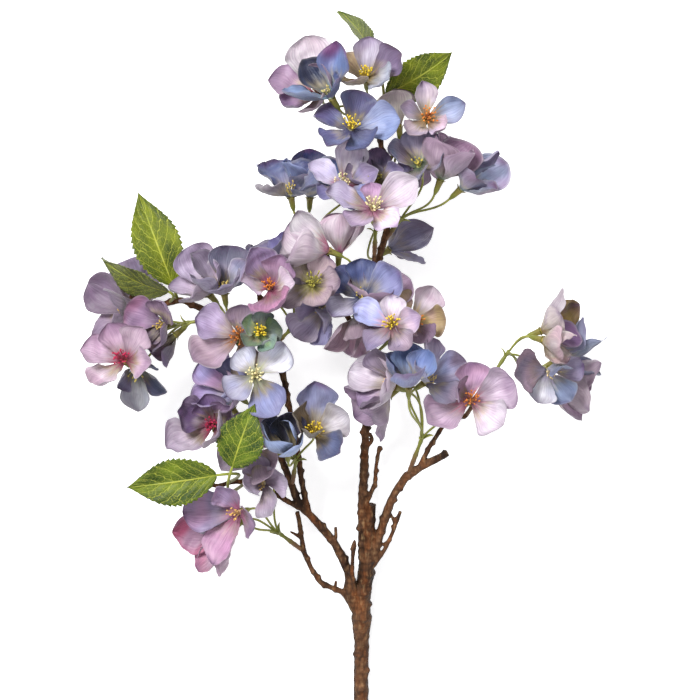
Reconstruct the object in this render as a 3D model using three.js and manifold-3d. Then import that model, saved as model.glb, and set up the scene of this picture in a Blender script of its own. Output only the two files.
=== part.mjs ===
// An apple blossom branch, cut and laid down: a forked woody stem, flower stalks in umbels, cupped blooms
// with five petals round a tuft of stamens, and toothed leaves.
// Millimetres. X runs across the branch, Y from the cut end to the tip, Z up from the surface it lies on.
// The origin is on that surface, under the middle of the branch.

import * as THREE from "three";
import Module from "manifold-3d";

const wasm = await Module();
wasm.setup();

// ---------------------------------------------------------------- driving dimensions

const SEAT_GAP = 0.3; // between two pieces that touch
const CENTRE = [5.4, 0, 0]; // added to every place below, so that the branch's middle is over the origin

const WOOD = { sides: 8, limbSides: 5, twigSides: 4, knotSwell: 0.14 };

const STALK = {
  socketRadius: 1.9, // the thick foot of an umbel, where it sits on the wood
  neckRadius: 1.1,
  knobRadius: 1.6,
  pedicelRadius: 0.8,
  longReach: 28, // a pedicel longer than this is drawn in three steps rather than two
  calyxLength: 11.5,
  calyxRadius: 2.1,
  rimRadius: 2.8,
  sides: 4,
};

const PETAL = {
  widthShare: 0.9, // of the petal's own length
  thickness: 0.9,
  cup: 0.3,
  twist: 16,
  claw: 0.26, // how far from its root the petal stays narrow in a cupped bloom
  broad: 0.58, // where it is broad
  rise: 1.15, // the outline is u^rise (1 - u)^fall, so it is widest past the middle
  fall: 0.55,
};
const PETAL_CLEARANCE = 0.35; // kept from every other piece

const BOSS = { height: 2, radius: 2.3 }; // the small heart that bears the petals
const STAMEN = { length: 9, spread: 30 };
const OPEN_ENOUGH = 40; // degrees at the petal's tip, past which the stamens show
const CUPPED = 104; // the sum of a petal's two angles, under which its root is a narrow claw

const LEAF = { thickness: 0.8, teeth: 6, toothDepth: 0.15, petioleHalf: 1, fold: 0.2 };

// How a petal bends, in degrees, and how short it grows, until it is clear of its neighbours.
const BENDS = [0, -8, 8, -16, 16, -28, 28, -42, 42, -58];
const GROWTHS = [1, 0.85, 0.7];

// ---------------------------------------------------------------- the wood

// Each limb is a list of [x, y, z, radius], from its root, which is sunk in the limb that bears it, to its tip.
const LIMBS = {
  trunk: [
    [8.3, -262.5, 5.2, 5.7],
    [8.3, -231.2, 5.2, 5.7],
    [8.7, -200.8, 6.5, 5.7],
    [8.6, -185.4, 8.5, 6.9],
    [9, -169.9, 12, 6.2],
    [11.9, -148, 18, 5.6],
    [14.1, -123.3, 25, 4.4],
    [15.5, -96, 32, 3.3],
  ],
  leader: [
    [10.4, -152.7, 17, 3.4],
    [9.3, -123.5, 24, 3.4],
    [8.8, -96.1, 31, 3.2],
    [10.3, -74.9, 37, 3],
    [11.3, -40.1, 45, 2.8],
    [12.4, -18.8, 48, 2.7],
    [11.6, 21.1, 52, 2.6],
    [13.7, 53.6, 54, 2.5],
    [20.2, 81.1, 55, 2.4],
    [26.7, 104.1, 56, 2.2],
    [26, 136.6, 56, 2],
    [22.4, 163.9, 57, 1.8],
    [21.6, 183.2, 58, 1.6],
  ],
  middle_twig: [
    [12, 50, 54, 2.0],
    [16, 68, 60, 1.8],
    [17.5, 86, 66, 1.7],
  ],
  upper_left_twig: [
    [11, 20, 53, 2.2],
    [-1, 40, 52, 2.0],
    [-11, 62, 51, 1.9],
    [-18, 92, 52, 1.7],
  ],
  left_limb: [
    [8.3, -183.9, 9, 4],
    [1.5, -172.7, 13, 3.6],
    [-1.1, -147.8, 20, 3.3],
    [-5.9, -136.1, 24, 3.1],
    [-11.4, -125.2, 28, 3],
    [-19.9, -114.4, 32, 2.9],
    [-28.6, -104.4, 36, 2.8],
    [-37.3, -95.9, 40, 2.7],
    [-46.7, -70, 44, 2.5],
    [-53.2, -54.7, 44, 2.4],
    [-64.2, -19, 44, 2.3],
    [-76.4, 17.5, 46, 2.3],
    [-91.2, 36.3, 52, 2.3],
    [-104.6, 46.3, 57, 2.2],
    [-120.8, 53.5, 60, 2.2],
    [-129.6, 52, 59, 2.1],
    [-138.4, 48.5, 57, 2.1],
    [-147, 52.8, 58, 2.2],
    [-158.5, 57.1, 58, 2.5],
  ],
  inner_limb: [
    [-30.1, -102.8, 37, 2.4],
    [-33, -90.2, 39, 2.2],
    [-35.8, -76, 42, 2.1],
    [-37.2, -63.4, 44, 2.1],
    [-42.2, -33.5, 46, 2],
    [-47.3, -8, 47, 1.9],
    [-49.4, 10.2, 48, 1.8],
  ],
  inner_twig: [
    [-47.3, -8, 47, 1.8],
    [-56, 19.7, 47, 1.7],
    [-64, 44.4, 48, 1.6],
    [-66.7, 61, 50, 1.5],
  ],
  low_limb: [
    [5.3, -179.3, 9.5, 2.6],
    [-5.2, -163.6, 14, 2.2],
    [-11.2, -161, 16, 2],
    [-21.6, -156.2, 18, 1.9],
    [-29, -144.5, 22, 1.8],
    [-34.1, -132.1, 26, 1.7],
    [-36.2, -118.4, 29, 1.7],
    [-37.6, -107.9, 31, 1.6],
    [-39, -101.8, 33, 1.5],
  ],
  lower_left_twig: [
    [-37.3, -98.1, 40, 2],
    [-53.5, -88.8, 38, 1.8],
    [-72.6, -80.7, 38, 1.7],
    [-84.3, -78.5, 38, 1.7],
    [-96.3, -82.2, 38, 1.6],
    [-106.9, -80.6, 39, 1.4],
  ],
  right_limb: [
    [14.2, -143.4, 19, 3.6],
    [17.8, -135.6, 22, 3.4],
    [21.2, -121.6, 27, 3.2],
    [26.5, -104.2, 31, 3],
    [32.3, -88.3, 35, 2.9],
    [41.7, -74.8, 39, 2.9],
    [51.9, -68, 42, 2.8],
    [61.3, -62.8, 43, 2.6],
    [71.5, -57.6, 44, 2.4],
  ],
  right_twig: [
    [50.4, -68.7, 42, 2],
    [58.2, -52.4, 46, 1.7],
    [67.5, -37.6, 50, 1.6],
    [80.2, -30.9, 55, 1.5],
    [84.3, -29.3, 58, 1.6],
  ],
  right_spur: [
    [14.9, -146.3, 20, 1.9],
    [25.2, -131.6, 24, 1.6],
    [31.1, -118.7, 27, 1.5],
    [37.3, -101.3, 30, 1.3],
  ],
  right_spur_bud: [
    [33.3, -112.7, 27.5, 1.2],
    [31.8, -107.3, 29, 1.2],
    [29.5, -102, 31, 0.9],
  ],
  stem_spur: [
    [11.8, -96, 32, 1.9],
    [18.3, -80.7, 38, 1.6],
    [19, -68, 42, 1.4],
    [21.5, -52.4, 46, 1.3],
  ],
  stem_spur_knob: [
    [11.7, -54, 43, 1.4],
    [16.7, -48, 46, 1.5],
    [14.5, -42.9, 47, 1.1],
  ],
  bud_twig: [
    [5.2, -174.2, 13, 1.9],
    [1.5, -147.1, 25, 1.5],
    [2.2, -132.5, 29, 1.4],
    [2.9, -127, 31, 1.9],
    [3.5, -122.5, 32, 0.9],
  ],
  limb_stub: [
    [-11.8, -127.4, 28, 1.7],
    [-10.3, -119.5, 32, 1.4],
    [-10.6, -112.7, 34, 1.2],
  ],
  low_limb_bud: [
    [-34.7, -123, 28, 1.3],
    [-39.2, -119.2, 29, 1.3],
    [-44.3, -116.6, 29, 0.8],
  ],
  low_limb_knob: [
    [-11.2, -161.8, 16, 1.4],
    [-10.4, -154.6, 19, 1.1],
  ],
  strut: [
    [-4.5, -163.6, 14, 1.2],
    [-1.5, -147.8, 20, 1.3],
  ],
};
const SIDES = { trunk: WOOD.sides, leader: WOOD.limbSides, left_limb: WOOD.limbSides, right_limb: WOOD.limbSides };

// ---------------------------------------------------------------- umbels, blooms and leaves

// seat: the point of the wood's axis that bears the umbel. split: where its flower stalks part.
const UMBELS = {
  top: { seat: [22, 178, 57.7], split: [21, 191, 66] },
  crown: { seat: [24, 150, 56.5], split: [33, 160, 58] },
  upper_left: { seat: [-18, 90, 52], split: [-22, 106, 58] },
  middle: { seat: [17.5, 85, 66], split: [18, 102, 74] },
  upper_right: { seat: [24.5, 96, 55.7], split: [36, 111, 60] },
  left_heart: { seat: [-56, 20, 46], split: [-43, 32, 58] },
  centre: { seat: [11, 12, 53], split: [13, 11, 66] },
  low_right: { seat: [42.5, -74, 39.5], split: [52, -46, 56] },
  far_right: { seat: [83.6, -29.7, 57.5], split: [112, 13.9, 62] },
  far_left: { seat: [-96, 40, 54], split: [-119, 37, 56] },
  left: { seat: [-84, 27, 49.2], split: [-82, 24, 60] },
  lower_left: { seat: [-61, -29, 44], split: [-64, -24, 60] },
  fork: { seat: [-42.4, -81.8, 42], split: [-38.9, -61.8, 57] },
  bottom_left: { seat: [-34.4, -131.3, 26.3], split: [-52.1, -116.9, 36] },
};

// at: where the petals spring. face: the way the bloom looks. open: a petal's angle from that way, in degrees, at its
// root and at its tip. petals: each one's turn about that way, in degrees from the branch's tip, and its length.
// fused: the bloom that its petals run into, so the two are one body.
const BLOOMS = {
  top_blush: { of: "top", at: [-23, 198, 78], face: [-0.35, 0.35, 0.87], open: [74, 44], petals: [[-60, 28], [10, 40], [78, 34], [132, 26], [200, 24]], fused: "top_blue" },
  top_blue: { of: "top", at: [-13, 193, 99], face: [-0.45, 0.6, 0.55], open: [58, 34], petals: [[-95, 24], [-14, 37], [52, 33], [130, 34]] },
  top_cream: { of: "top", at: [11.3, 208.6, 82], face: [-0.05, 0.55, 0.8], open: [66, 40], petals: [[-135, 26], [-74, 30], [-4, 28], [72, 22], [150, 27]] },
  top_slate: { of: "top", at: [0.7, 170.7, 96], face: [0.05, 0.5, 0.85], open: [78, 56], petals: [[-155, 26], [-90, 33], [-16, 27], [66, 26], [138, 26]] },
  crown_bud: { of: "crown", at: [35, 178, 64], face: [-0.1, 0.95, 0.2], open: [32, -5], petals: [[0, 26], [90, 26], [180, 26], [270, 26]] },
  crown_pearl: { of: "crown", at: [54, 181, 76], face: [0.15, 0.2, 0.95], open: [82, 66], petals: [[-142, 24], [-72, 28], [8, 25], [72, 20], [138, 24]] },
  crown_blush: { of: "crown", at: [49, 164, 46], face: [0.3, -0.5, 0.4], open: [70, 50], petals: [[0, 28], [90, 28], [180, 28], [270, 28]] },
  crown_blue: { of: "crown", at: [29.2, 138.5, 66.4], face: [0.3, 0.6, 0.65], open: [66, 40], petals: [[-164, 28], [-86, 30], [-8, 30], [70, 26]], fused: "upper_blush" },
  upper_slate: { of: "upper_left", at: [-42, 127, 72], face: [-0.15, 0.85, 0.45], open: [70, 46], petals: [[-110, 30], [-30, 30], [48, 34], [140, 26]] },
  upper_navy: { of: "upper_left", at: [-29, 128.5, 50], face: [0.05, 0.85, 0.4], open: [52, 24], petals: [[0, 36], [90, 32], [180, 30], [270, 34]], fused: "upper_slate" },
  upper_blush: { of: "upper_left", at: [-4.2, 131.6, 90], face: [-0.1, 0.4, 0.91], open: [76, 54], petals: [[-135, 24], [-76, 26], [-14, 33], [62, 28], [132, 22]] },
  middle_mauve: { of: "middle", at: [17, 135, 84], face: [0, 0.5, 0.86], open: [66, 36], petals: [[-96, 25], [-2, 24], [100, 25], [176, 27]], fused: "upper_blush" },
  middle_pink: { of: "middle", at: [15.8, 114, 108], face: [0.05, 0.45, 0.89], open: [76, 58], petals: [[-144, 25], [-60, 35], [6, 17], [80, 34], [142, 25]] },
  middle_violet: { of: "middle", at: [28.7, 91, 34], face: [0.8, 0.45, -0.3], open: [50, 34], petals: [[-10, 26], [84, 38], [170, 28], [260, 26]] },
  right_dusty: { of: "upper_right", at: [49, 147, 78], face: [-0.2, 0.5, 0.75], open: [60, 40], petals: [[0, 26], [90, 26], [180, 26], [270, 26]], fused: "right_mauve" },
  right_mauve: { of: "upper_right", at: [64, 138, 78], face: [0.35, 0.88, 0.3], open: [44, 8], petals: [[0, 33], [90, 33], [180, 32], [270, 34]] },
  right_haze: { of: "upper_right", at: [79.3, 132.5, 68], face: [0.7, 0.6, 0.4], open: [48, 26], petals: [[-88, 39], [-26, 37], [44, 30], [112, 28], [188, 26]] },
  heart_rose: { of: "left_heart", at: [-55.6, 60.6, 98], face: [-0.05, 0.3, 0.95], open: [56, 28], petals: [[-168, 38], [-100, 26], [-34, 27], [26, 31], [94, 24]] },
  heart_violet: { of: "left_heart", at: [-47.3, 69, 65], face: [-0.35, 0.88, 0.15], open: [50, 30], petals: [[-60, 30], [20, 37], [92, 38], [180, 28]], fused: "heart_mauve" },
  heart_mauve: { of: "left_heart", at: [-37, 58, 76], face: [-0.1, 0.6, 0.75], open: [60, 35], petals: [[-140, 30], [-44, 27], [40, 26], [140, 30]] },
  heart_dusty: { of: "left_heart", at: [-27, 63, 94], face: [0.15, 0.4, 0.9], open: [68, 44], petals: [[-166, 24], [-96, 21], [-20, 21], [48, 21], [126, 26]], fused: "heart_blush" },
  heart_haze: { of: "left_heart", at: [-17, 48, 68], face: [-0.35, -0.4, 0.8], open: [74, 58], petals: [[-164, 28], [-94, 25], [-24, 28], [48, 25], [128, 29]] },
  heart_blush: { of: "left_heart", at: [-15, 87, 92], face: [-0.85, 0.35, 0.35], open: [42, 18], petals: [[0, 34], [72, 34], [144, 33], [216, 34], [288, 34]] },
  heart_bud: { of: "left_heart", at: [-8, 86, 74], face: [0.05, 0.97, 0.2], open: [32, -5], petals: [[0, 30], [90, 30], [180, 30], [270, 30]] },
  centre_navy: { of: "centre", at: [8.4, 54, 86], face: [-0.1, 0.4, 0.91], open: [76, 56], petals: [[-146, 29], [-64, 32], [0, 26], [64, 28], [136, 29]] },
  centre_pink: { of: "centre", at: [17.7, 50.1, 76], face: [0.25, 0.65, 0.6], open: [62, 40], petals: [[-76, 29], [0, 26], [80, 26], [180, 25]], fused: "centre_navy" },
  centre_blush: { of: "centre", at: [29, 34.2, 98], face: [-0.1, 0.3, 0.95], open: [76, 58], petals: [[-150, 25], [-80, 21], [-2, 20], [70, 29], [142, 26]] },
  centre_cream: { of: "centre", at: [44, 37.3, 80], face: [0.25, 0.2, 0.94], open: [76, 60], petals: [[-156, 23], [-92, 22], [-30, 27], [42, 22], [126, 26]], fused: "centre_blush" },
  centre_dusty: { of: "centre", at: [4.4, 40.6, 76], face: [0, -0.9, 0.3], open: [52, 30], petals: [[0, 30], [90, 30], [180, 30], [270, 30]], fused: "centre_navy" },
  low_blush: { of: "low_right", at: [31, -8, 84], face: [-0.75, 0.3, 0.5], open: [60, 40], petals: [[-2, 30], [80, 34], [150, 27], [220, 26], [290, 27]] },
  low_azure: { of: "low_right", at: [40.8, -7.4, 104], face: [0, 0.8, 0.6], open: [50, 16], petals: [[-50, 28], [10, 30], [72, 27], [180, 32]] },
  low_haze: { of: "low_right", at: [53, -5, 85], face: [0.6, 0.45, 0.6], open: [68, 46], petals: [[-162, 24], [-76, 33], [-6, 30], [70, 24]], fused: "low_azure" },
  low_pink: { of: "low_right", at: [84.5, -18.4, 84], face: [0.05, 0.25, 0.96], open: [78, 58], petals: [[-134, 29], [-70, 33], [0, 26], [60, 22], [120, 38]] },
  low_mauve: { of: "low_right", at: [28, -15, 64], face: [-0.75, -0.5, 0.1], open: [50, 35], petals: [[0, 31], [90, 32], [180, 32], [270, 32]], fused: "low_blush" },
  far_cream: { of: "far_right", at: [136.4, 31, 68], face: [0.9, 0.35, 0.25], open: [50, 28], petals: [[-135, 30], [-68, 37], [4, 32], [74, 24], [150, 22]] },
  far_bud: { of: "far_right", at: [136.4, 24.5, 80], face: [0.75, -0.2, 0.6], open: [32, 0], petals: [[0, 24], [90, 24], [180, 24], [270, 24]], fused: "far_cream" },
  far_haze: { of: "far_right", at: [148, 8, 43], face: [0.88, 0.45, 0.15], open: [46, 24], petals: [[20, 38], [100, 42], [185, 34], [280, 38]], fused: "far_mauve" },
  far_lilac: { of: "far_right", at: [140.6, 2.6, 74], face: [0.3, -0.25, 0.92], open: [76, 52], petals: [[-144, 25], [-68, 24], [0, 23], [84, 38], [152, 24]] },
  far_mauve: { of: "far_right", at: [147, -6, 34], face: [0.85, -0.25, 0.1], open: [46, 26], petals: [[30, 40], [112, 40], [195, 36], [285, 36]] },
  left_mauve: { of: "left", at: [-88.2, 57.4, 90], face: [-0.1, 0.85, 0.5], open: [60, 36], petals: [[-64, 27], [-4, 34], [56, 35], [130, 26], [216, 25]] },
  left_lilac: { of: "left", at: [-99.8, 57.1, 78], face: [-0.55, 0.65, 0.5], open: [62, 40], petals: [[-60, 26], [34, 36], [114, 28], [206, 24]], fused: "left_mauve" },
  left_dusty: { of: "left", at: [-77.4, 26.7, 84], face: [-0.1, 0.1, 0.98], open: [78, 60], petals: [[-158, 30], [-82, 22], [-4, 22], [68, 32], [124, 36]] },
  left_moss: { of: "left", at: [-62.5, 29.3, 100], face: [0.1, 0.2, 0.97], open: [64, 36], petals: [[-150, 19], [-78, 17], [-6, 16], [68, 16], [140, 18]] },
  left_bud: { of: "left", at: [-124.6, 28, 70], face: [-0.7, -0.6, 0.2], open: [32, 0], petals: [[0, 22], [90, 22], [180, 22], [270, 22]], fused: "far_left_plum" },
  far_left_lilac: { of: "far_left", at: [-158.5, 44, 56], face: [-0.85, 0.1, 0.45], open: [62, 42], petals: [[-50, 30], [52, 40], [134, 33], [214, 28]] },
  far_left_violet: { of: "far_left", at: [-152.7, 48.5, 31], face: [-0.3, 0.85, -0.25], open: [50, 30], petals: [[-50, 38], [40, 32], [130, 32], [220, 33]] },
  far_left_pink: { of: "far_left", at: [-158.7, 9.7, 82], face: [-0.2, 0.35, 0.9], open: [74, 48], petals: [[-104, 24], [-36, 26], [24, 27], [82, 30], [148, 30]] },
  far_left_plum: { of: "far_left", at: [-131, 35.2, 76], face: [-0.6, 0, 0.75], open: [62, 40], petals: [[-40, 25], [62, 29], [130, 26], [220, 24]] },
  far_left_haze: { of: "far_left", at: [-152.7, 4.7, 67.3], face: [0.1, -0.7, 0.6], open: [66, 48], petals: [[-112, 26], [-20, 24], [92, 21], [180, 31]], fused: "far_left_pink" },
  lower_pearl: { of: "lower_left", at: [-66.2, 0, 96], face: [0.05, 0.1, 0.99], open: [80, 66], petals: [[-152, 32], [-46, 29], [40, 20], [130, 24]] },
  lower_lilac: { of: "lower_left", at: [-78.6, -15, 78], face: [-0.5, 0.5, 0.7], open: [66, 42], petals: [[-78, 24], [-6, 28], [58, 36], [124, 33], [204, 24]] },
  lower_plum: { of: "lower_left", at: [-96, -36.2, 80], face: [-0.2, 0.2, 0.95], open: [68, 30], petals: [[-130, 31], [-56, 24], [12, 23], [72, 28], [128, 37]], fused: "lower_lilac" },
  lower_azure: { of: "lower_left", at: [-85.5, -25, 50], face: [-0.5, 0.6, 0.2], open: [62, 40], petals: [[0, 30], [90, 30], [180, 30], [270, 30]], fused: "lower_lilac" },
  fork_slate: { of: "fork", at: [-25.3, -41, 84], face: [0.05, 0.35, 0.93], open: [76, 54], petals: [[-136, 25], [-66, 26], [-2, 34], [66, 27], [158, 26]] },
  fork_navy: { of: "fork", at: [-44.2, -53.4, 88], face: [-0.05, 0.75, 0.66], open: [52, 0], petals: [[0, 27], [72, 27], [144, 26], [216, 26], [288, 27]] },
  fork_blush: { of: "fork", at: [-68, -54, 60], face: [-0.2, 0.2, 0.8], open: [70, 50], petals: [[45, 31], [135, 31], [225, 31], [315, 31]], fused: "bottom_pearl" },
  bottom_rose: { of: "bottom_left", at: [-78, -97.4, 76], face: [-0.55, -0.1, 0.8], open: [76, 50], petals: [[-104, 25], [14, 27], [86, 40], [160, 40]] },
  bottom_pink: { of: "bottom_left", at: [-86.9, -112.9, 52], face: [-0.75, -0.45, 0.35], open: [50, 26], petals: [[62, 42], [140, 38], [220, 36], [320, 32]] },
  bottom_pearl: { of: "bottom_left", at: [-61.6, -77.8, 64], face: [-0.3, 0, 0.9], open: [70, 50], petals: [[-150, 26], [-76, 24], [14, 22], [110, 22]] },
  bottom_haze: { of: "bottom_left", at: [-82.4, -105.4, 46.2], face: [-0.6, 0.3, -0.2], open: [60, 40], petals: [[0, 30], [90, 30], [180, 30], [270, 30]], fused: "bottom_pink" },
};

// foot: the point of the wood's axis that bears the leaf. base and tip: the blade's ends. up: the way its upper face
// looks. arch: how far the middle of the blade stands above the straight line between them.
const LEAVES = {
  tip: { foot: [22, 180, 57.8], base: [14, 232, 56], tip: [-8, 262, 60], up: [0.9, 0.2, 0.5], width: 30, arch: 3 },
  upper_right: { foot: [24, 162, 57], base: [26, 203, 52], tip: [75, 233, 52], up: [0.1, -0.5, 0.85], width: 34, arch: 5 },
  left_upright: { foot: [-124, 53, 59.5], base: [-127, 64, 64], tip: [-152, 131, 66], up: [0.1, -0.1, 1], width: 35, arch: 4 },
  left_low: { foot: [-131, 51.5, 58.6], base: [-129, 59, 72], tip: [-177, 82, 76], up: [-0.2, -0.8, 0.6], width: 30, arch: 4 },
  lower_left: { foot: [-90, -80, 38], base: [-93, -70, 92], tip: [-157, -79, 90], up: [0, -0.1, 1], width: 34, arch: 4 },
  lower_upright: { foot: [-77, -80, 38], base: [-82, -64, 96], tip: [-66, -20, 108], up: [-0.1, -0.1, 1], width: 34, arch: 4 },
};

// ---------------------------------------------------------------- vectors and solids

const radians = THREE.MathUtils.degToRad;
const vec = (p) => new THREE.Vector3(p[0], p[1], p[2]);
const along = (origin, ...steps) =>
  steps.reduce((sum, [direction, distance]) => sum.addScaledVector(direction, distance), origin.clone());

// Three directions at right angles: axis, up (the nearest to the branch's tip) and side, so that side = axis x up.
function frameOf(axis) {
  const ahead = Math.abs(axis.y) > 0.93 ? new THREE.Vector3(0, 0, 1) : new THREE.Vector3(0, 1, 0);
  const up = ahead.addScaledVector(axis, -ahead.dot(axis)).normalize();
  return { axis, up, side: new THREE.Vector3().crossVectors(axis, up) };
}

// A fixed scatter from -1 to 1 for a seed and a step, the same on every run.
function scatter(seed, step) {
  const wave = Math.sin(seed * 12.9898 + step * 78.233) * 43758.5453;
  return 2 * (wave - Math.floor(wave)) - 1;
}

function solidOf(points, faces) {
  const mesh = new wasm.Mesh({
    numProp: 3,
    vertProperties: new Float32Array(points.flatMap((p) => [p.x, p.y, p.z])),
    triVerts: new Uint32Array(faces.flat()),
  });
  return new wasm.Manifold(mesh);
}

// A tube through centres, one ring of corners at each, closed at both ends.
function tube(centres, radii, sides) {
  const points = [];
  const faces = [];
  let up = null;
  centres.forEach((centre, i) => {
    const before = centres[Math.max(i - 1, 0)];
    const after = centres[Math.min(i + 1, centres.length - 1)];
    const axis = after.clone().sub(before).normalize();
    up = up ? up.clone().addScaledVector(axis, -up.dot(axis)).normalize() : frameOf(axis).up;
    const side = new THREE.Vector3().crossVectors(axis, up);
    for (let k = 0; k < sides; k++) {
      const turn = (2 * Math.PI * (k + 0.5)) / sides;
      points.push(along(centre, [up, radii[i] * Math.cos(turn)], [side, radii[i] * Math.sin(turn)]));
    }
  });
  const last = (centres.length - 1) * sides;
  for (let start = 0; start < last; start += sides)
    for (let k = 0; k < sides; k++) {
      const next = (k + 1) % sides;
      faces.push([start + k, start + next, start + sides + next], [start + k, start + sides + next, start + sides + k]);
    }
  for (let k = 1; k < sides - 1; k++) faces.push([0, k + 1, k], [last, last + k, last + k + 1]);
  return solidOf(points, faces);
}

// Triangles between two rows of points, which may have unlike counts.
function strip(near, far) {
  const faces = [];
  let i = 0;
  let j = 0;
  while (i < near.length - 1 || j < far.length - 1) {
    const nearNext = (i + 1) / (near.length - 1);
    const farNext = (j + 1) / (far.length - 1);
    if (farNext <= nearNext) faces.push([near[i], far[j], far[++j]]);
    else faces.push([near[i], far[j], near[++i]]);
  }
  return faces;
}

// The two faces and the edge of a blade, split alike on both faces. Each place in a row is a pair of point numbers,
// [upper, under]. Where the root is open, it is left for what bears the blade to close.
function bladeFaces(rows, rootOpen) {
  const faces = [];
  for (let r = 0; r < rows.length - 1; r++)
    for (const [a, b, c] of strip(rows[r], rows[r + 1])) faces.push([a[0], b[0], c[0]], [a[1], c[1], b[1]]);
  const rim = [
    ...rows.map((row) => row[0]),
    ...rows.at(-1).slice(1, -1),
    ...rows.map((row) => row.at(-1)).reverse(),
    ...rows[0].slice(1, -1).reverse(),
  ];
  rim.forEach((a, k) => {
    if (rootOpen && k === rim.length - 1) return;
    const b = rim[(k + 1) % rim.length];
    faces.push([b[0], a[0], a[1]], [b[0], a[1], b[1]]);
  });
  return faces;
}

// Numbers for the upper and under points of each place in a row, put at the end of the list of points.
function pairs(points, row) {
  return row.map(({ point, normal, half }) => {
    points.push(along(point, [normal, half]), along(point, [normal, -half]));
    return [points.length - 2, points.length - 1];
  });
}

function blade(rows) {
  const points = [];
  const numbered = rows.map((row) => pairs(points, row));
  return solidOf(points, bladeFaces(numbered, false));
}

const union = (solids) => wasm.Manifold.union(solids);
const largest = (solid) => solid.decompose().reduce((a, b) => (b.volume() > a.volume() ? b : a));

// ---------------------------------------------------------------- wood

function limb(name, grow = 0) {
  const knots = LIMBS[name];
  const centres = knots.map(vec);
  const radii = knots.map(([, , , radius], i) => radius * (1 + WOOD.knotSwell * (i % 2 ? 1 : 0) * (i > 1 ? 1 : 0)) + grow);
  return tube(centres, radii, SIDES[name] ?? WOOD.twigSides);
}

// What lies below the surface is cut off, so the stem's foot has the flat spot on which it rests.
function wood(grow = 0) {
  const whole = union(Object.keys(LIMBS).map((name) => limb(name, grow)));
  return grow ? whole : whole.trimByPlane([0, 0, 1], 0);
}

// ---------------------------------------------------------------- flower stalks

function calyxFoot(bloom) {
  const axis = vec(bloom.face).normalize();
  return along(vec(bloom.at), [axis, -STALK.calyxLength - SEAT_GAP]);
}

function socket(umbel) {
  const seat = vec(umbel.seat);
  const split = vec(umbel.split);
  const at = (share) => seat.clone().lerp(split, share);
  const { socketRadius, neckRadius, knobRadius, sides } = STALK;
  return tube([at(0), at(0.55), at(0.75), at(1.06)], [socketRadius * 0.8, socketRadius, neckRadius, knobRadius], sides);
}

// One bloom's stalk: a thin pedicel that leaves the split and turns to the way the bloom looks, then the calyx tube.
function stalk(bloom, umbel) {
  const axis = vec(bloom.face).normalize();
  const split = vec(umbel.split);
  const foot = calyxFoot(bloom);
  const rim = along(vec(bloom.at), [axis, -SEAT_GAP]);
  const reach = foot.distanceTo(split);
  const parting = split.clone().sub(vec(umbel.seat)).normalize().lerp(foot.clone().sub(split).normalize(), 0.5);
  const path = new THREE.CubicBezierCurve3(
    split,
    along(split, [parting, reach * 0.4]),
    along(foot, [axis, -reach * 0.4]),
    foot,
  );
  const { pedicelRadius, calyxRadius, rimRadius } = STALK;
  const steps = reach > STALK.longReach ? 3 : 2;
  const pedicel = path.getPoints(steps);
  const centres = [...pedicel, foot.clone().lerp(rim, 0.35), rim];
  const radii = [...pedicel.map(() => pedicelRadius), calyxRadius, rimRadius];
  return tube(centres, radii, STALK.sides);
}

// ---------------------------------------------------------------- blooms

// The petal's outline: half its width at u, from its root, 0, to its tip, 1.
function outlineShare(u) {
  const widest = PETAL.rise / (PETAL.rise + PETAL.fall);
  return (u / widest) ** PETAL.rise * ((1 - u) / (1 - widest)) ** PETAL.fall;
}

// How far a petal is turned about the bloom's axis. Past the last petal the count goes on round.
function petalTurn(bloom, index) {
  const count = bloom.petals.length;
  return radians(bloom.petals[(index + count) % count][0] + 360 * Math.floor(index / count));
}

const isCupped = (bloom) => bloom.open[0] + bloom.open[1] < CUPPED;

// The way out from the bloom's axis at a turn about it.
function outward(bloom, turn) {
  const { up, side } = frameOf(vec(bloom.face).normalize());
  return along(new THREE.Vector3(), [up, Math.cos(turn)], [side, Math.sin(turn)]);
}

// The petal's surface: its rib is an arc that turns from one opening angle to the other, and it is cupped across.
function petalSurface(bloom, index, bend, growth) {
  const seed = bloom.seed * 7 + index;
  const axis = vec(bloom.face).normalize();
  const out = outward(bloom, petalTurn(bloom, index));
  const across = new THREE.Vector3().crossVectors(axis, out);
  const length = bloom.petals[index][1] * growth;
  const usual = bloom.petals.reduce((sum, [, each]) => sum + each, 0) / bloom.petals.length;
  const width = ((length + usual) / 2) * PETAL.widthShare * (1 + 0.07 * scatter(seed, 3));
  const lean = 3 * scatter(seed, 4);
  const first = radians(bloom.open[0] + lean + 0.7 * bend);
  const last = radians(bloom.open[1] + lean + 1.1 * bend + 0.01);
  const twist = radians(PETAL.twist + 2 * scatter(seed, 5));
  const turn = petalTurn(bloom, index);
  const share = Math.min(petalTurn(bloom, index + 1) - turn, turn - petalTurn(bloom, index - 1)) / 2;
  const rootRadius = BOSS.radius * Math.cos(share);
  const root = along(vec(bloom.at), [axis, BOSS.height / 2], [out, rootRadius]);
  const narrow = isCupped(bloom) ? PETAL.claw : PETAL.broad;
  return (u, v, grow = 0) => {
    const angle = first + (last - first) * u;
    const run = (length * (Math.cos(first) - Math.cos(angle))) / (last - first);
    const climb = (length * (Math.sin(angle) - Math.sin(first))) / (last - first);
    const inward = along(new THREE.Vector3(), [out, -Math.cos(angle)], [axis, Math.sin(angle)]);
    const room = (rootRadius + run) * Math.tan(share) * (0.85 + 3.2 * Math.max(0, u - narrow));
    const half = Math.min((width / 2) * outlineShare(u), room) + grow;
    const tilt = twist * Math.min(1, 3 * u);
    const level = along(new THREE.Vector3(), [across, Math.cos(tilt)], [inward, Math.sin(tilt)]);
    const normal = along(new THREE.Vector3(), [inward, Math.cos(tilt)], [across, -Math.sin(tilt)]);
    const lift = PETAL.cup * half * v * v * Math.min(1, 2.5 * u);
    const point = along(root, [out, run], [axis, climb], [level, half * v], [normal, lift]);
    return { point, normal, half: PETAL.thickness / 2 + grow };
  };
}

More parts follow.
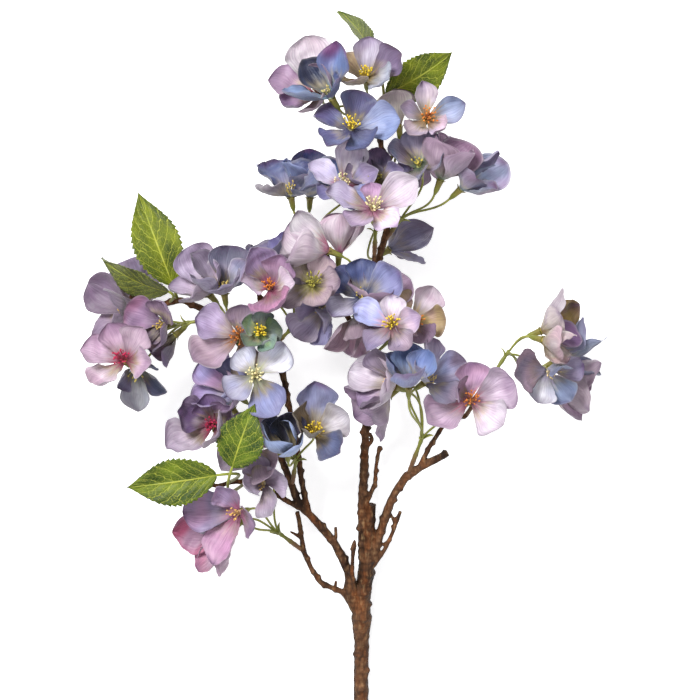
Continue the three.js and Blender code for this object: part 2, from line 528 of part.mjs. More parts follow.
// The rows of a petal past its root: a narrow claw where the bloom is cupped, the broad middle and the round tip.
function petalRows(bloom, index, bend, growth, grow = 0) {
  const at = petalSurface(bloom, index, bend, growth);
  const claw = isCupped(bloom) ? [[at(PETAL.claw, -1, grow), at(PETAL.claw, 1, grow)]] : [];
  return [
    ...claw,
    [at(PETAL.broad, -1, grow), at(PETAL.broad, 0, grow), at(PETAL.broad, 1, grow)],
    [at(0.86, -1, grow), at(1, 0, grow), at(0.86, 1, grow)],
  ];
}

// A corner of the boss, between one petal and the next.
function bossCorner(bloom, index, height) {
  const axis = vec(bloom.face).normalize();
  const turn = (petalTurn(bloom, index) + petalTurn(bloom, index + 1)) / 2;
  return along(vec(bloom.at), [axis, height], [outward(bloom, turn), BOSS.radius]);
}

// One petal by itself, from the side of the boss outward, as it is tried against its neighbours.
function petal(bloom, index, bend, growth, grow = 0) {
  const before = (index + bloom.petals.length - 1) % bloom.petals.length;
  const root = [before, index].map((corner) => [BOSS.height, 0].map((height) => bossCorner(bloom, corner, height)));
  const points = root.flat();
  const rows = petalRows(bloom, index, bend, growth, grow).map((row) => pairs(points, row));
  const bottom = [
    [0, 1],
    [2, 3],
  ];
  return solidOf(points, bladeFaces([bottom, ...rows], false));
}

// The whole bloom in one shell: a boss whose sides run out into the petals that have room, and whose top rises in
// a tuft of stamens where the bloom is open.
function bloomSolid(bloom, bent) {
  const axis = vec(bloom.face).normalize();
  const count = bloom.petals.length;
  const points = [];
  const corners = [];
  const faces = [];
  for (let k = 0; k < count; k++) {
    points.push(bossCorner(bloom, k, BOSS.height), bossCorner(bloom, k, 0));
    corners.push([2 * k, 2 * k + 1]);
  }
  const heart = points.push(along(vec(bloom.at), [axis, BOSS.height])) - 1;
  const foot = points.push(vec(bloom.at)) - 1;
  for (let k = 0; k < count; k++) {
    const before = corners[(k + count - 1) % count];
    const after = corners[k];
    const rows = bent[k] ? petalRows(bloom, k, bent[k].bend, bent[k].growth).map((row) => pairs(points, row)) : [];
    if (bent[k]) faces.push(...bladeFaces([[before, after], ...rows], true));
    else faces.push([before[1], after[1], after[0]], [before[1], after[0], before[0]]);
    faces.push([after[1], before[1], foot]);
    if (bloom.open[1] < OPEN_ENOUGH || bloom.face[2] < 0.5) {
      faces.push([before[0], after[0], heart]);
      continue;
    }
    const spread = radians(STAMEN.spread * (1 + 0.25 * scatter(bloom.seed, k)));
    const length = STAMEN.length * (1 + 0.15 * scatter(bloom.seed, 20 + k));
    const tip = points.push(
      along(
        points[heart],
        [axis, length * Math.cos(spread)],
        [outward(bloom, petalTurn(bloom, k)), length * Math.sin(spread)],
      ),
    );
    faces.push([before[0], after[0], tip - 1], [after[0], heart, tip - 1], [heart, before[0], tip - 1]);
  }
  return solidOf(points, faces);
}

// ---------------------------------------------------------------- leaves

// A toothed blade whose stalk is its own first rows, narrow and thick.
function leaf(sizes) {
  const base = vec(sizes.base);
  const tip = vec(sizes.tip);
  const length = base.distanceTo(tip);
  const ahead = tip.clone().sub(base).normalize();
  const over = vec(sizes.up);
  over.addScaledVector(ahead, -over.dot(ahead)).normalize();
  const across = new THREE.Vector3().crossVectors(over, ahead);
  const foot = vec(sizes.foot);
  const bow = new THREE.QuadraticBezierCurve3(foot, along(base, [ahead, -foot.distanceTo(base) * 0.5]), base);
  const half = LEAF.petioleHalf;
  const rows = [0, 0.33, 0.67, 1].map((share) => {
    const middle = bow.getPoint(share);
    const way = bow.getTangent(share);
    const normal = over.clone().addScaledVector(way, -over.dot(way)).normalize();
    const sideways = new THREE.Vector3().crossVectors(normal, way);
    return [-1, 1].map((v) => ({ point: along(middle, [sideways, v * half]), normal, half }));
  });
  const count = 2 * LEAF.teeth;
  for (let k = 1; k <= count; k++) {
    const u = k / count;
    const tooth = k % 2 ? 1 : 1 - LEAF.toothDepth;
    const halfWidth = Math.max(0.5, (sizes.width / 2) * tooth * Math.sin(Math.PI * u ** 0.85) ** 0.85);
    const arch = sizes.arch * 4 * u * (1 - u);
    const places = k === count ? [-1, 1] : [-1, 0, 1];
    rows.push(
      places.map((v) => ({
        point: along(
          base,
          [ahead, length * u],
          [over, arch + LEAF.fold * halfWidth * Math.abs(v)],
          [across, halfWidth * v],
        ),
        normal: over,
        half: LEAF.thickness / 2,
      })),
    );
  }
  return blade(rows);
}

// ---------------------------------------------------------------- assembly

const COLOURS = {
  wood: { color: 0x5b3a26, roughness: 0.85 },
  stalk: { color: 0x7f8f3a, roughness: 0.6 },
  leaf: { color: 0x6f8f2c, roughness: 0.55 },
  blush: { color: 0xe6cfdc, roughness: 0.7 },
  blue: { color: 0x8f9cc4, roughness: 0.7 },
  cream: { color: 0xcfc2a6, roughness: 0.7 },
  slate: { color: 0x7f83aa, roughness: 0.7 },
  pearl: { color: 0xd6cfe2, roughness: 0.7 },
  navy: { color: 0x4d5b86, roughness: 0.7 },
  mauve: { color: 0xb3a0c0, roughness: 0.7 },
  pink: { color: 0xdcb6cd, roughness: 0.7 },
  violet: { color: 0x847aa2, roughness: 0.7 },
  dusty: { color: 0xb99aa3, roughness: 0.7 },
  rose: { color: 0xd08aa6, roughness: 0.7 },
  haze: { color: 0xa3abc4, roughness: 0.7 },
  azure: { color: 0x8aa5d8, roughness: 0.7 },
  lilac: { color: 0xc2b2d4, roughness: 0.7 },
  moss: { color: 0x7c9276, roughness: 0.7 },
  plum: { color: 0x8a6f92, roughness: 0.7 },
  bud: { color: 0xdcc6c8, roughness: 0.7 },
};

const branch = new THREE.Group();

function addNode(name, solid, colour) {
  const { vertProperties, triVerts } = solid.getMesh();
  const geometry = new THREE.BufferGeometry();
  geometry.setAttribute("position", new THREE.BufferAttribute(vertProperties, 3));
  geometry.setIndex(new THREE.BufferAttribute(triVerts, 1));
  geometry.translate(...CENTRE);
  const mesh = new THREE.Mesh(geometry, new THREE.MeshStandardMaterial({ metalness: 0, ...COLOURS[colour] }));
  mesh.name = name;
  branch.add(mesh);
}

// Every solid that a petal has to keep clear of, with the name of the piece that it belongs to.
const neighbours = [];

function settle(solid, owner) {
  const { min, max } = solid.boundingBox();
  neighbours.push({ solid, owner, box: new THREE.Box3(vec(min), vec(max)) });
  return solid;
}

function isClear(solid, owner) {
  const { min, max } = solid.boundingBox();
  const box = new THREE.Box3(vec(min), vec(max));
  return neighbours.every(
    (other) => other.owner === owner || !other.box.intersectsBox(box) || solid.intersect(other.solid).isEmpty(),
  );
}

// The first bend and growth in which the petal is clear of every neighbour and of the bloom's own other petals.
function roomFor(body, bloom, index, siblings) {
  for (const growth of GROWTHS)
    for (const bend of BENDS) {
      if (!isClear(petal(bloom, index, bend, growth, PETAL_CLEARANCE), body)) continue;
      const bare = petal(bloom, index, bend, growth);
      if (siblings.every((other) => bare.intersect(other).volume() < 0.002)) return { bend, growth };
    }
  return null;
}

const bloomEntries = Object.entries(BLOOMS);
const bodyOf = (name) => BLOOMS[name].fused ?? name;
bloomEntries.forEach(([, bloom], k) => (bloom.seed = k + 1));

const woodSolid = settle(wood(), "wood");
const woodRoom = wood(SEAT_GAP);

const stalkParts = {};
for (const [name, umbel] of Object.entries(UMBELS)) stalkParts[name] = [socket(umbel)];
for (const [, bloom] of bloomEntries) stalkParts[bloom.of].push(stalk(bloom, UMBELS[bloom.of]));
for (const [name, parts] of Object.entries(stalkParts))
  stalkParts[name] = [settle(largest(union(parts).subtract(woodRoom)), `stalks_${name}`)];

const leafSolids = Object.entries(LEAVES).map(([name, sizes]) => [
  `leaf_${name}`,
  settle(largest(leaf(sizes).subtract(woodRoom)), `leaf_${name}`),
]);

// Every heart has its place before any petal opens.
for (const [name, bloom] of bloomEntries) settle(bloomSolid(bloom, []), bodyOf(name));

// The highest bloom opens first, and those under it bend clear of it.
const bodies = {};
for (const [name, bloom] of bloomEntries.toSorted(([, a], [, b]) => b.at[2] - a.at[2])) {
  const siblings = [];
  const bent = [];
  for (let index = 0; index < bloom.petals.length; index++) {
    bent.push(roomFor(bodyOf(name), bloom, index, siblings));
    if (bent[index]) siblings.push(petal(bloom, index, bent[index].bend, bent[index].growth));
  }
  (bodies[bodyOf(name)] ??= []).push(settle(bloomSolid(bloom, bent), bodyOf(name)));
}

addNode("wood", woodSolid, "wood");
for (const [name, parts] of Object.entries(stalkParts)) addNode(`stalks_${name}`, union(parts), "stalk");
for (const [name, solid] of leafSolids) addNode(name, solid, "leaf");
for (const [name, solids] of Object.entries(bodies)) {
  const kind = solids.length > 1 ? "blooms" : "bloom";
  addNode(`${kind}_${name}`, union(solids), name.split("_").at(-1));
}

export default branch;
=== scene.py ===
"""An apple blossom branch, cut and laid on its back.

Each flower, stalk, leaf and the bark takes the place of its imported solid. Sizes are in millimetres and meshes
in metres. X runs across the branch, Y from the cut end to the tip and Z up from the surface it lies on.
"""

import sys
import logging
import math
from dataclasses import dataclass, field
from enum import Enum, IntEnum

import bpy
import numpy as np
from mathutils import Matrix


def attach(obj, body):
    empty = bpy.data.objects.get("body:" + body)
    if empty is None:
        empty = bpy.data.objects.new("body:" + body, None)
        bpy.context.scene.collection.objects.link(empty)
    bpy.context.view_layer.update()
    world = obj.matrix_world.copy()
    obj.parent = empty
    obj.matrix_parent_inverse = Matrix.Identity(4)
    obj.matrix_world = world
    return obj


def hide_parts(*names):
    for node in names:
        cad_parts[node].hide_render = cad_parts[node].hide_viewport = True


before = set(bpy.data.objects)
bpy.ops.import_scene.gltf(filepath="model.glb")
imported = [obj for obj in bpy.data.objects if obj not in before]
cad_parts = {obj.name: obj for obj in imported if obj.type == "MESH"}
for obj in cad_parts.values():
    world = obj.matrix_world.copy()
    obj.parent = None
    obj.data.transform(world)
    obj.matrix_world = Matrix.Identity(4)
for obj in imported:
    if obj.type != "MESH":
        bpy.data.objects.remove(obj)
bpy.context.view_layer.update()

Vec3 = tuple[float, float, float]
Pair = tuple[float, float]

MM = 0.001
CENTRE = np.array([5.4, 0.0, 0.0])  # added to every place below, so that the branch's middle is at the origin
GOLDEN_TURN = 0.381966  # the share of a turn from one stamen to the next
VEIN_PAIRS = 7.0  # the side veins on each half of a leaf
VEIN_LEAN = 2.4  # how many gaps between veins a side vein climbs on its way to the margin
NOISE_REACH = (0.3, 0.7)  # the lowest and highest values that soft noise usually has
LOG = logging.getLogger("blossom_branch")


class Seed(IntEnum):
    """What is added to the number of a petal, flower or limb to seed one of its draws."""

    LIMB = 5
    BUMPS = 11
    LUMPS = 61
    CLOUD = 40
    STREAK = 80
    LIGHT = 120
    SEPALS = 300
    TUFT = 500
    PETAL = 900


# ---------------------------------------------------------------- small tools


def unit(vector: np.ndarray) -> np.ndarray:
    """The vector at length 1."""
    return vector / np.linalg.norm(vector)


def paint(code: int) -> np.ndarray:
    """The linear red, green and blue of a colour code such as 0xE8C93A."""
    shares = np.array([code >> 16 & 255, code >> 8 & 255, code & 255]) / 255
    return np.where(shares <= 0.04045, shares / 12.92, ((shares + 0.055) / 1.055) ** 2.4)


def ease(low: float, high: float, value: np.ndarray) -> np.ndarray:
    """A smooth rise from 0 at low to 1 at high."""
    share = np.clip((value - low) / (high - low), 0, 1)
    return share * share * (3 - 2 * share)


def mixed(first: np.ndarray, second: np.ndarray, share: np.ndarray | float) -> np.ndarray:
    """Two colours mixed by a share, or by one for each point, in which 0 is the first."""
    share = np.asarray(share)[..., None]
    return first * (1 - share) + second * share


def scatter(seed: float, step: float) -> float:
    """A fixed scatter from -1 to 1 for a seed and a step."""
    wave = math.sin(seed * 12.9898 + step * 78.233) * 43758.5453
    return 2 * (wave - math.floor(wave)) - 1


def across_axis(axis: np.ndarray) -> tuple[np.ndarray, np.ndarray]:
    """Two directions at right angles to an axis.

    Args:
        axis: a direction of length 1.

    Returns:
        The one nearest to the branch's tip, and the one at right angles to both.
    """
    ahead = np.array([0.0, 0.0, 1.0]) if abs(axis[1]) > 0.93 else np.array([0.0, 1.0, 0.0])
    up = unit(ahead - axis * ahead.dot(axis))
    return up, np.cross(axis, up)


def radial(axis: np.ndarray, turn: float) -> np.ndarray:
    """The way out from an axis at a turn about it."""
    up, side = across_axis(axis)
    return up * math.cos(turn) + side * math.sin(turn)


def grid(first: float, last: float, rows: int, columns: int) -> list[np.ndarray]:
    """Two grids of a sheet: shares of its length, and of its half width, which run from -1 to 1."""
    return list(np.meshgrid(np.linspace(first, last, rows), np.linspace(-1, 1, columns), indexing="ij"))


def read_places(mesh: bpy.types.Mesh) -> np.ndarray:
    """The places of a mesh's points.

    Args:
        mesh: the mesh.

    Returns:
        Places in metres, one in each row.
    """
    places = np.empty(len(mesh.vertices) * 3, dtype=np.float32)
    mesh.vertices.foreach_get("co", places)
    return places.reshape(-1, 3)


@dataclass(frozen=True)
class Ripple:
    """A smooth seeded pattern of hills and hollows, from about -1 to 1."""

    seed: int
    waves: int = 5

    def at(self, *places: np.ndarray) -> np.ndarray:
        """The pattern's height.

        Args:
            *places: coordinates, counted in hills.

        Returns:
            The height at each place.
        """
        dice = np.random.default_rng(self.seed)
        total = np.zeros(np.shape(places[0]))
        for _ in range(self.waves):
            way = unit(dice.normal(size=len(places))) * dice.uniform(0.6, 1.5) * 2 * math.pi
            total = total + np.sin(sum(w * p for w, p in zip(way, places)) + dice.uniform(0, 2 * math.pi))
        return total / math.sqrt(self.waves) / 1.1


class Patchwork:
    """Patches of surface in millimetres, which become one mesh object."""

    def __init__(self) -> None:
        """Starts with no patch."""
        self.points: list[np.ndarray] = []
        self.tints: list[np.ndarray] = []
        self.charts: list[np.ndarray] = []
        self.faces: list[list[int]] = []
        self.kinds: list[int] = []
        self.count = 0

    def lay(
        self, points: np.ndarray, tints: np.ndarray, chart: np.ndarray, faces: list, kind: int = 0
    ) -> None:
        """Adds one patch.

        Args:
            points: places, one in each row.
            tints: a colour for all of them, or one for each.
            chart: two flat coordinates for each point.
            faces: lists of point numbers, which start at 0 in this patch.
            kind: which of the object's finishes it takes.
        """
        self.points.append(points)
        self.tints.append(np.broadcast_to(tints, points.shape))
        self.charts.append(chart)
        self.faces.extend((np.asarray(face) + self.count).tolist() for face in faces)
        self.kinds.extend([kind] * len(faces))
        self.count += len(points)

    def blade(
        self,
        middle: np.ndarray,
        normal: np.ndarray,
        thick: np.ndarray | float,
        tints: tuple[np.ndarray, np.ndarray],
        u: np.ndarray,
        v: np.ndarray,
    ) -> None:
        """Adds a thin closed sheet, which takes the first of the object's finishes.

        Args:
            middle: its middle as a grid of points, from its root to its tip and from side to side.
            normal: the way up from it, for all of it or for each point.
            thick: half its thickness.
            tints: the colours of its upper and its under face.
            u: each point's first flat coordinate.
            v: each point's second flat coordinate.
        """
        rows, columns = middle.shape[:2]
        top = np.arange(rows * columns).reshape(rows, columns)
        low = top + rows * columns
        faces = []
        for corners in (
            (top[:-1, :-1], top[1:, :-1], top[1:, 1:], top[:-1, 1:]),
            (low[:-1, :-1], low[:-1, 1:], low[1:, 1:], low[1:, :-1]),
            (top[:-1, 0], low[:-1, 0], low[1:, 0], top[1:, 0]),
            (top[:-1, -1], top[1:, -1], low[1:, -1], low[:-1, -1]),
            (top[-1, :-1], low[-1, :-1], low[-1, 1:], top[-1, 1:]),
            (top[0, :-1], top[0, 1:], low[0, 1:], low[0, :-1]),
        ):
            faces += np.stack([corner.ravel() for corner in corners], axis=1).tolist()
        points = np.concatenate([(middle + normal * side * thick).reshape(-1, 3) for side in (1, -1)])
        colours = np.concatenate([np.broadcast_to(tint, middle.shape).reshape(-1, 3) for tint in tints])
        flat = np.stack([u, v], axis=-1).reshape(-1, 2)
        self.lay(points, colours, np.concatenate([flat, flat]), faces)

    def tube(
        self, centres: np.ndarray, radii: np.ndarray, sides: int, tints: np.ndarray, kind: int = 0
    ) -> None:
        """Adds a round closed stalk.

        Args:
            centres: places along its middle.
            radii: its radius at each place, or at each place and side.
            sides: corners of each ring.
            tints: a colour for all of it, or one for each ring.
            kind: which of the object's finishes it takes.
        """
        count = len(centres)
        turns = 2 * math.pi * np.arange(sides) / sides
        radii = np.broadcast_to(np.asarray(radii, dtype=float).reshape(count, -1), (count, sides))
        rings = np.empty((count, sides, 3))
        up = None
        for i in range(count):
            axis = unit(centres[min(i + 1, count - 1)] - centres[max(i - 1, 0)])
            up = across_axis(axis)[0] if up is None else unit(up - axis * up.dot(axis))
            side = np.cross(axis, up)
            ways = np.outer(np.cos(turns), up) + np.outer(np.sin(turns), side)
            rings[i] = centres[i] + ways * radii[i][:, None]
        start = np.arange((count - 1) * sides).reshape(count - 1, sides)
        after = np.roll(start, -1, axis=1)
        faces = np.stack([start, after, after + sides, start + sides], axis=-1).reshape(-1, 4).tolist()
        last = (count - 1) * sides
        faces += [list(range(sides))[::-1], list(range(last, last + sides))]
        colours = np.broadcast_to(np.asarray(tints, dtype=float).reshape(-1, 3), (count, 3))
        runs = np.concatenate([[0], np.cumsum(np.linalg.norm(np.diff(centres, axis=0), axis=1))])
        chart = np.stack(np.broadcast_arrays(runs[:, None] / 10, turns[None, :] / math.pi), axis=-1)
        self.lay(rings.reshape(-1, 3), np.repeat(colours, sides, axis=0), chart.reshape(-1, 2), faces, kind)

    def ball(
        self, centre: np.ndarray, axis: np.ndarray, radii: Pair, tint: np.ndarray, kind: int = 0
    ) -> None:
        """Adds a small egg-shaped body.

        Args:
            centre: its middle.
            axis: the way that it points.
            radii: its radius across and along that axis.
            tint: its colour.
            kind: which of the object's finishes it takes.
        """
        shares = np.array([-0.999, -0.7, 0, 0.7, 0.999])
        centres = centre + np.outer(shares * radii[1], axis)
        self.tube(centres, radii[0] * np.sqrt(1 - shares**2), 6, tint, kind)

    def build(self, name: str, finishes: list[bpy.types.Material]) -> bpy.types.Object:
        """Makes the mesh object.

        Args:
            name: the object's name.
            finishes: its materials, in the order of the patches' kinds.

        Returns:
            The object, smooth, with its colours and its chart.
        """
        mesh = bpy.data.meshes.new(name)
        points = (np.concatenate(self.points) + CENTRE) * MM
        mesh.from_pydata(points.tolist(), [], self.faces)
        colours = np.concatenate(self.tints)
        layer = mesh.color_attributes.new("tint", "FLOAT_COLOR", "POINT")
        layer.data.foreach_set("color", np.column_stack([colours, np.ones(len(colours))]).ravel())
        corners = np.empty(len(mesh.loops), dtype=np.int32)
        mesh.loops.foreach_get("vertex_index", corners)
        chart = np.concatenate(self.charts)[corners]
        mesh.uv_layers.new(name="chart").data.foreach_set("uv", chart.ravel())
        for finish in finishes:
            mesh.materials.append(finish)
        mesh.polygons.foreach_set("material_index", self.kinds)
        mesh.shade_smooth()
        piece = bpy.data.objects.new(name, mesh)
        bpy.context.scene.collection.objects.link(piece)
        return piece


def seat(piece: bpy.types.Object, node: str, slot: str) -> None:
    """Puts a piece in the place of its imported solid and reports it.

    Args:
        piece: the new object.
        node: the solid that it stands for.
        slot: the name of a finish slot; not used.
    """
    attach(piece, "root")
    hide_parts(node)
    LOG.info("%s: %d faces", piece.name, len(piece.data.polygons))


# ---------------------------------------------------------------- finishes


class Bench:
    """Lays out the nodes of one material round its surface shader."""

    def __init__(self, name: str) -> None:
        """Starts a material with its shader alone.

        Args:
            name: the material's name.
        """
        self.material = bpy.data.materials.new(name)
        self.material.use_nodes = True
        self.tree = self.material.node_tree
        self.tree.nodes.clear()
        self.shader = self.tree.nodes.new("ShaderNodeBsdfPrincipled")
        output = self.tree.nodes.new("ShaderNodeOutputMaterial")
        self.tree.links.new(self.shader.outputs[0], output.inputs[0])

    def put(self, kind: str, sockets: dict, **settings: object) -> bpy.types.Node:
        """Adds a node.

        Args:
            kind: the node's type, without its first word.
            sockets: what goes into its sockets: a number, a colour, or another node's output.
            **settings: the node's own options.

        Returns:
            The node.
        """
        node = self.tree.nodes.new("ShaderNode" + kind)
        for key, value in settings.items():
            setattr(node, key, value)
        for key, value in sockets.items():
            self.into(node.inputs[key], value)
        return node

    def into(self, socket: bpy.types.NodeSocket, value: object) -> None:
        """Fills a socket.

        Args:
            socket: an input of a node.
            value: another node's output, to which it is linked, or its own value.
        """
        if isinstance(value, bpy.types.NodeSocket):
            self.tree.links.new(value, socket)
        else:
            socket.default_value = value

    def maths(self, kind: str, first: object, second: object = 0.0) -> bpy.types.NodeSocket:
        """One sum, by the name of its operation."""
        return self.put("Math", {0: first, 1: second}, operation=kind).outputs[0]

    def times(self, value: object, *others: object) -> bpy.types.NodeSocket:
        """A number multiplied by others."""
        for other in others:
            value = self.maths("MULTIPLY", value, other)
        return value

    def spread(self, value: object, start: float, end: float, *reach: float) -> bpy.types.NodeSocket:
        """A value that runs from start to end while the input runs over its reach, or over soft noise's."""
        low, high = reach or NOISE_REACH
        sockets = {"Value": value, "From Min": low, "From Max": high, "To Min": start, "To Max": end}
        return self.put("MapRange", sockets).outputs[0]

    def blend(self, kind: str, share: object, first: object, second: object) -> bpy.types.NodeSocket:
        """Two colours blended by a share."""
        sockets = {0: share, 6: first, 7: second}
        return self.put("Mix", sockets, data_type="RGBA", blend_type=kind).outputs[2]

    def shaded(self, colour: object, *shades: object) -> bpy.types.NodeSocket:
        """Shades a colour.

        Args:
            colour: a colour.
            *shades: greys or colours by which it is multiplied, one after the other.

        Returns:
            The shaded colour.
        """
        for shade in shades:
            colour = self.blend("MULTIPLY", 1.0, colour, shade)
        return colour

    def noise(self, where: object, scale: float, detail: float = 2.0) -> bpy.types.NodeSocket:
        """Soft noise over a place."""
        return self.put("TexNoise", {"Vector": where, "Scale": scale, "Detail": detail}).outputs["Fac"]

    def cells(self, where: object, scale: float, **settings: object) -> bpy.types.NodeSocket:
        """How far a place is from the middle of its cell, or as the settings say."""
        return self.put("TexVoronoi", {"Vector": where, "Scale": scale}, **settings).outputs["Distance"]

    def stretched(self, where: object, scale: Vec3) -> bpy.types.NodeSocket:
        """A place whose axes are scaled."""
        return self.put("Mapping", {"Vector": where, "Scale": scale}).outputs[0]

    def part(self, vector: object, axis: int) -> bpy.types.NodeSocket:
        """One coordinate of a vector."""
        return self.put("SeparateXYZ", {0: vector}).outputs[axis]

    def place(self, kind: str) -> bpy.types.NodeSocket:
        """The surface's own coordinates: Object or UV."""
        return self.put("TexCoord", {}).outputs[kind]

    def tint(self) -> bpy.types.NodeSocket:
        """The colour that the mesh carries."""
        return self.put("Attribute", {}, attribute_name="tint").outputs["Color"]

    def relief(self, *layers: tuple[object, float, float]) -> bpy.types.NodeSocket:
        """A bumped normal.

        Args:
            *layers: the height, strength and depth in metres of each layer, which lies on the one before.

        Returns:
            The normal.
        """
        normal: dict[str, bpy.types.NodeSocket] = {}
        for height, strength, depth in layers:
            bump = self.put("Bump", {"Height": height, "Strength": strength, "Distance": depth, **normal})
            normal = {"Normal": bump.outputs[0]}
        return normal["Normal"]

    def finish(self, **sockets: object) -> bpy.types.Material:
        """Sets the shader.

        Args:
            **sockets: what goes into its sockets, whose names are given with _ for a space.

        Returns:
            The finished material.
        """
        for key, value in sockets.items():
            self.into(self.shader.inputs[key.replace("_", " ")], value)
        return self.material


def solid(code: int) -> tuple[float, ...]:
    """The colour of a code as a socket takes it, with no transparency."""
    return (*paint(code), 1.0)


def grey(value: float) -> tuple[float, float, float, float]:
    """A grey of that share of white."""
    return (value, value, value, 1.0)


@dataclass(frozen=True)
class PetalSilk:
    """The satin skin of a petal: fine ribs that run out from its root, faint mottling and a soft sheen."""

    ribs: float = 15.0
    fine_ribs: float = 51.0
    mottle: float = 170.0
    green_fall: float = 1.12
    blue_fall: float = 0.9
    smooth: float = 0.39
    rough: float = 0.54

    def make(self) -> bpy.types.Material:
        """Returns the material."""
        bench = Bench("petal_silk")
        chart = bench.place("UV")
        ribs = bench.noise(bench.stretched(chart, (2.2, self.ribs, 1)), 1.0, 3.0)
        fine = bench.noise(bench.stretched(chart, (4.0, self.fine_ribs, 1)), 1.0)
        mottle = bench.noise(bench.place("Object"), self.mottle, 3.0)
        shade = bench.times(
            bench.spread(ribs, 0.8, 1.13), bench.spread(fine, 0.9, 1.07), bench.spread(mottle, 0.92, 1.07)
        )
        green, blue = (bench.maths("POWER", shade, fall) for fall in (self.green_fall, self.blue_fall))
        tone = bench.put("CombineXYZ", {0: shade, 1: green, 2: blue}).outputs[0]
        return bench.finish(
            Base_Color=bench.shaded(bench.tint(), tone),
            Normal=bench.relief((ribs, 0.7, 0.0008), (fine, 0.5, 0.0003), (mottle, 0.3, 0.0008)),
            Roughness=bench.spread(mottle, self.smooth, self.rough),
            Specular_IOR_Level=0.42,
            Sheen_Weight=0.12,
            Sheen_Roughness=0.4,
            Subsurface_Weight=0.07,
            Subsurface_Radius=(1.0, 0.7, 0.9),
            Subsurface_Scale=0.0015,
        )


@dataclass(frozen=True)
class Pollen:
    """The grainy skin of the anthers and the heart."""

    grain: float = 1800.0

    def make(self) -> bpy.types.Material:
        """Returns the material."""
        bench = Bench("pollen")
        grain = bench.noise(bench.place("Object"), self.grain)
        return bench.finish(
            Base_Color=bench.shaded(bench.tint(), bench.spread(grain, 0.75, 1.15)),
            Normal=bench.relief((grain, 0.6, 0.0003)),
            Roughness=bench.spread(grain, 0.55, 0.8),
            Specular_IOR_Level=0.3,
        )


@dataclass(frozen=True)
class GreenSkin:
    """The smooth skin of the flower stalks, with faint long streaks."""

    streaks: Vec3 = (1.5, 9.0, 1)
    spots: float = 420.0

    def make(self) -> bpy.types.Material:
        """Returns the material."""
        bench = Bench("green_skin")
        streaks = bench.noise(bench.stretched(bench.place("UV"), self.streaks), 1.0, 3.0)
        spots = bench.noise(bench.place("Object"), self.spots)
        shade = bench.times(bench.spread(streaks, 0.78, 1.15), bench.spread(spots, 0.88, 1.1))
        return bench.finish(
            Base_Color=bench.shaded(bench.tint(), shade),
            Normal=bench.relief((streaks, 0.4, 0.0005), (spots, 0.2, 0.0003)),
            Roughness=bench.spread(spots, 0.42, 0.6),
            Specular_IOR_Level=0.45,
            Subsurface_Weight=0.1,
            Subsurface_Radius=(0.6, 1.0, 0.3),
            Subsurface_Scale=0.001,
        )


@dataclass(frozen=True)
class LeafSkin:
    """The skin of a leaf: a rib, side veins that run to the teeth, and a fine net on cloudy green."""

    wander: float = 0.5
    net: Vec3 = (18.2, 7.8, 1)
    clouds: float = 45.0
    vein: int = 0xB2B444

    def make(self) -> bpy.types.Material:
        """Returns the material."""
        bench = Bench("leaf_skin")
        chart = bench.place("UV")
        side = bench.maths("ABSOLUTE", bench.part(chart, 1))
        climb = bench.times(bench.part(chart, 0), VEIN_PAIRS)
        step = bench.maths("SUBTRACT", climb, bench.times(side, VEIN_LEAN))
        step = bench.maths("ADD", step, bench.times(bench.noise(chart, 6.0, 1.0), self.wander))
        away = bench.maths("ABSOLUTE", bench.maths("SUBTRACT", bench.maths("FRACT", step), 0.5))
        veins = bench.times(bench.spread(away, 1.0, 0.0, 0.012, 0.05), 0.9)
        rib = bench.spread(side, 1.0, 0.0, 0.012, 0.045)
        net = bench.cells(bench.stretched(chart, self.net), 1.0, feature="DISTANCE_TO_EDGE")
        net = bench.times(bench.spread(net, 1.0, 0.0, 0.004, 0.045), 0.6)
        lines = bench.maths("MAXIMUM", bench.maths("MAXIMUM", veins, rib), net)
        clouds = bench.noise(bench.place("Object"), self.clouds)
        green = bench.shaded(bench.tint(), bench.spread(clouds, 0.82, 1.12))
        return bench.finish(
            Base_Color=bench.blend("MIX", bench.times(lines, 0.8), green, solid(self.vein)),
            Normal=bench.relief((away, 0.5, 0.0012), (lines, 0.5, 0.0004)),
            Roughness=bench.spread(clouds, 0.45, 0.6),
            Specular_IOR_Level=0.28,
            Subsurface_Weight=0.08,
            Subsurface_Radius=(0.5, 1.0, 0.2),
            Subsurface_Scale=0.001,
        )


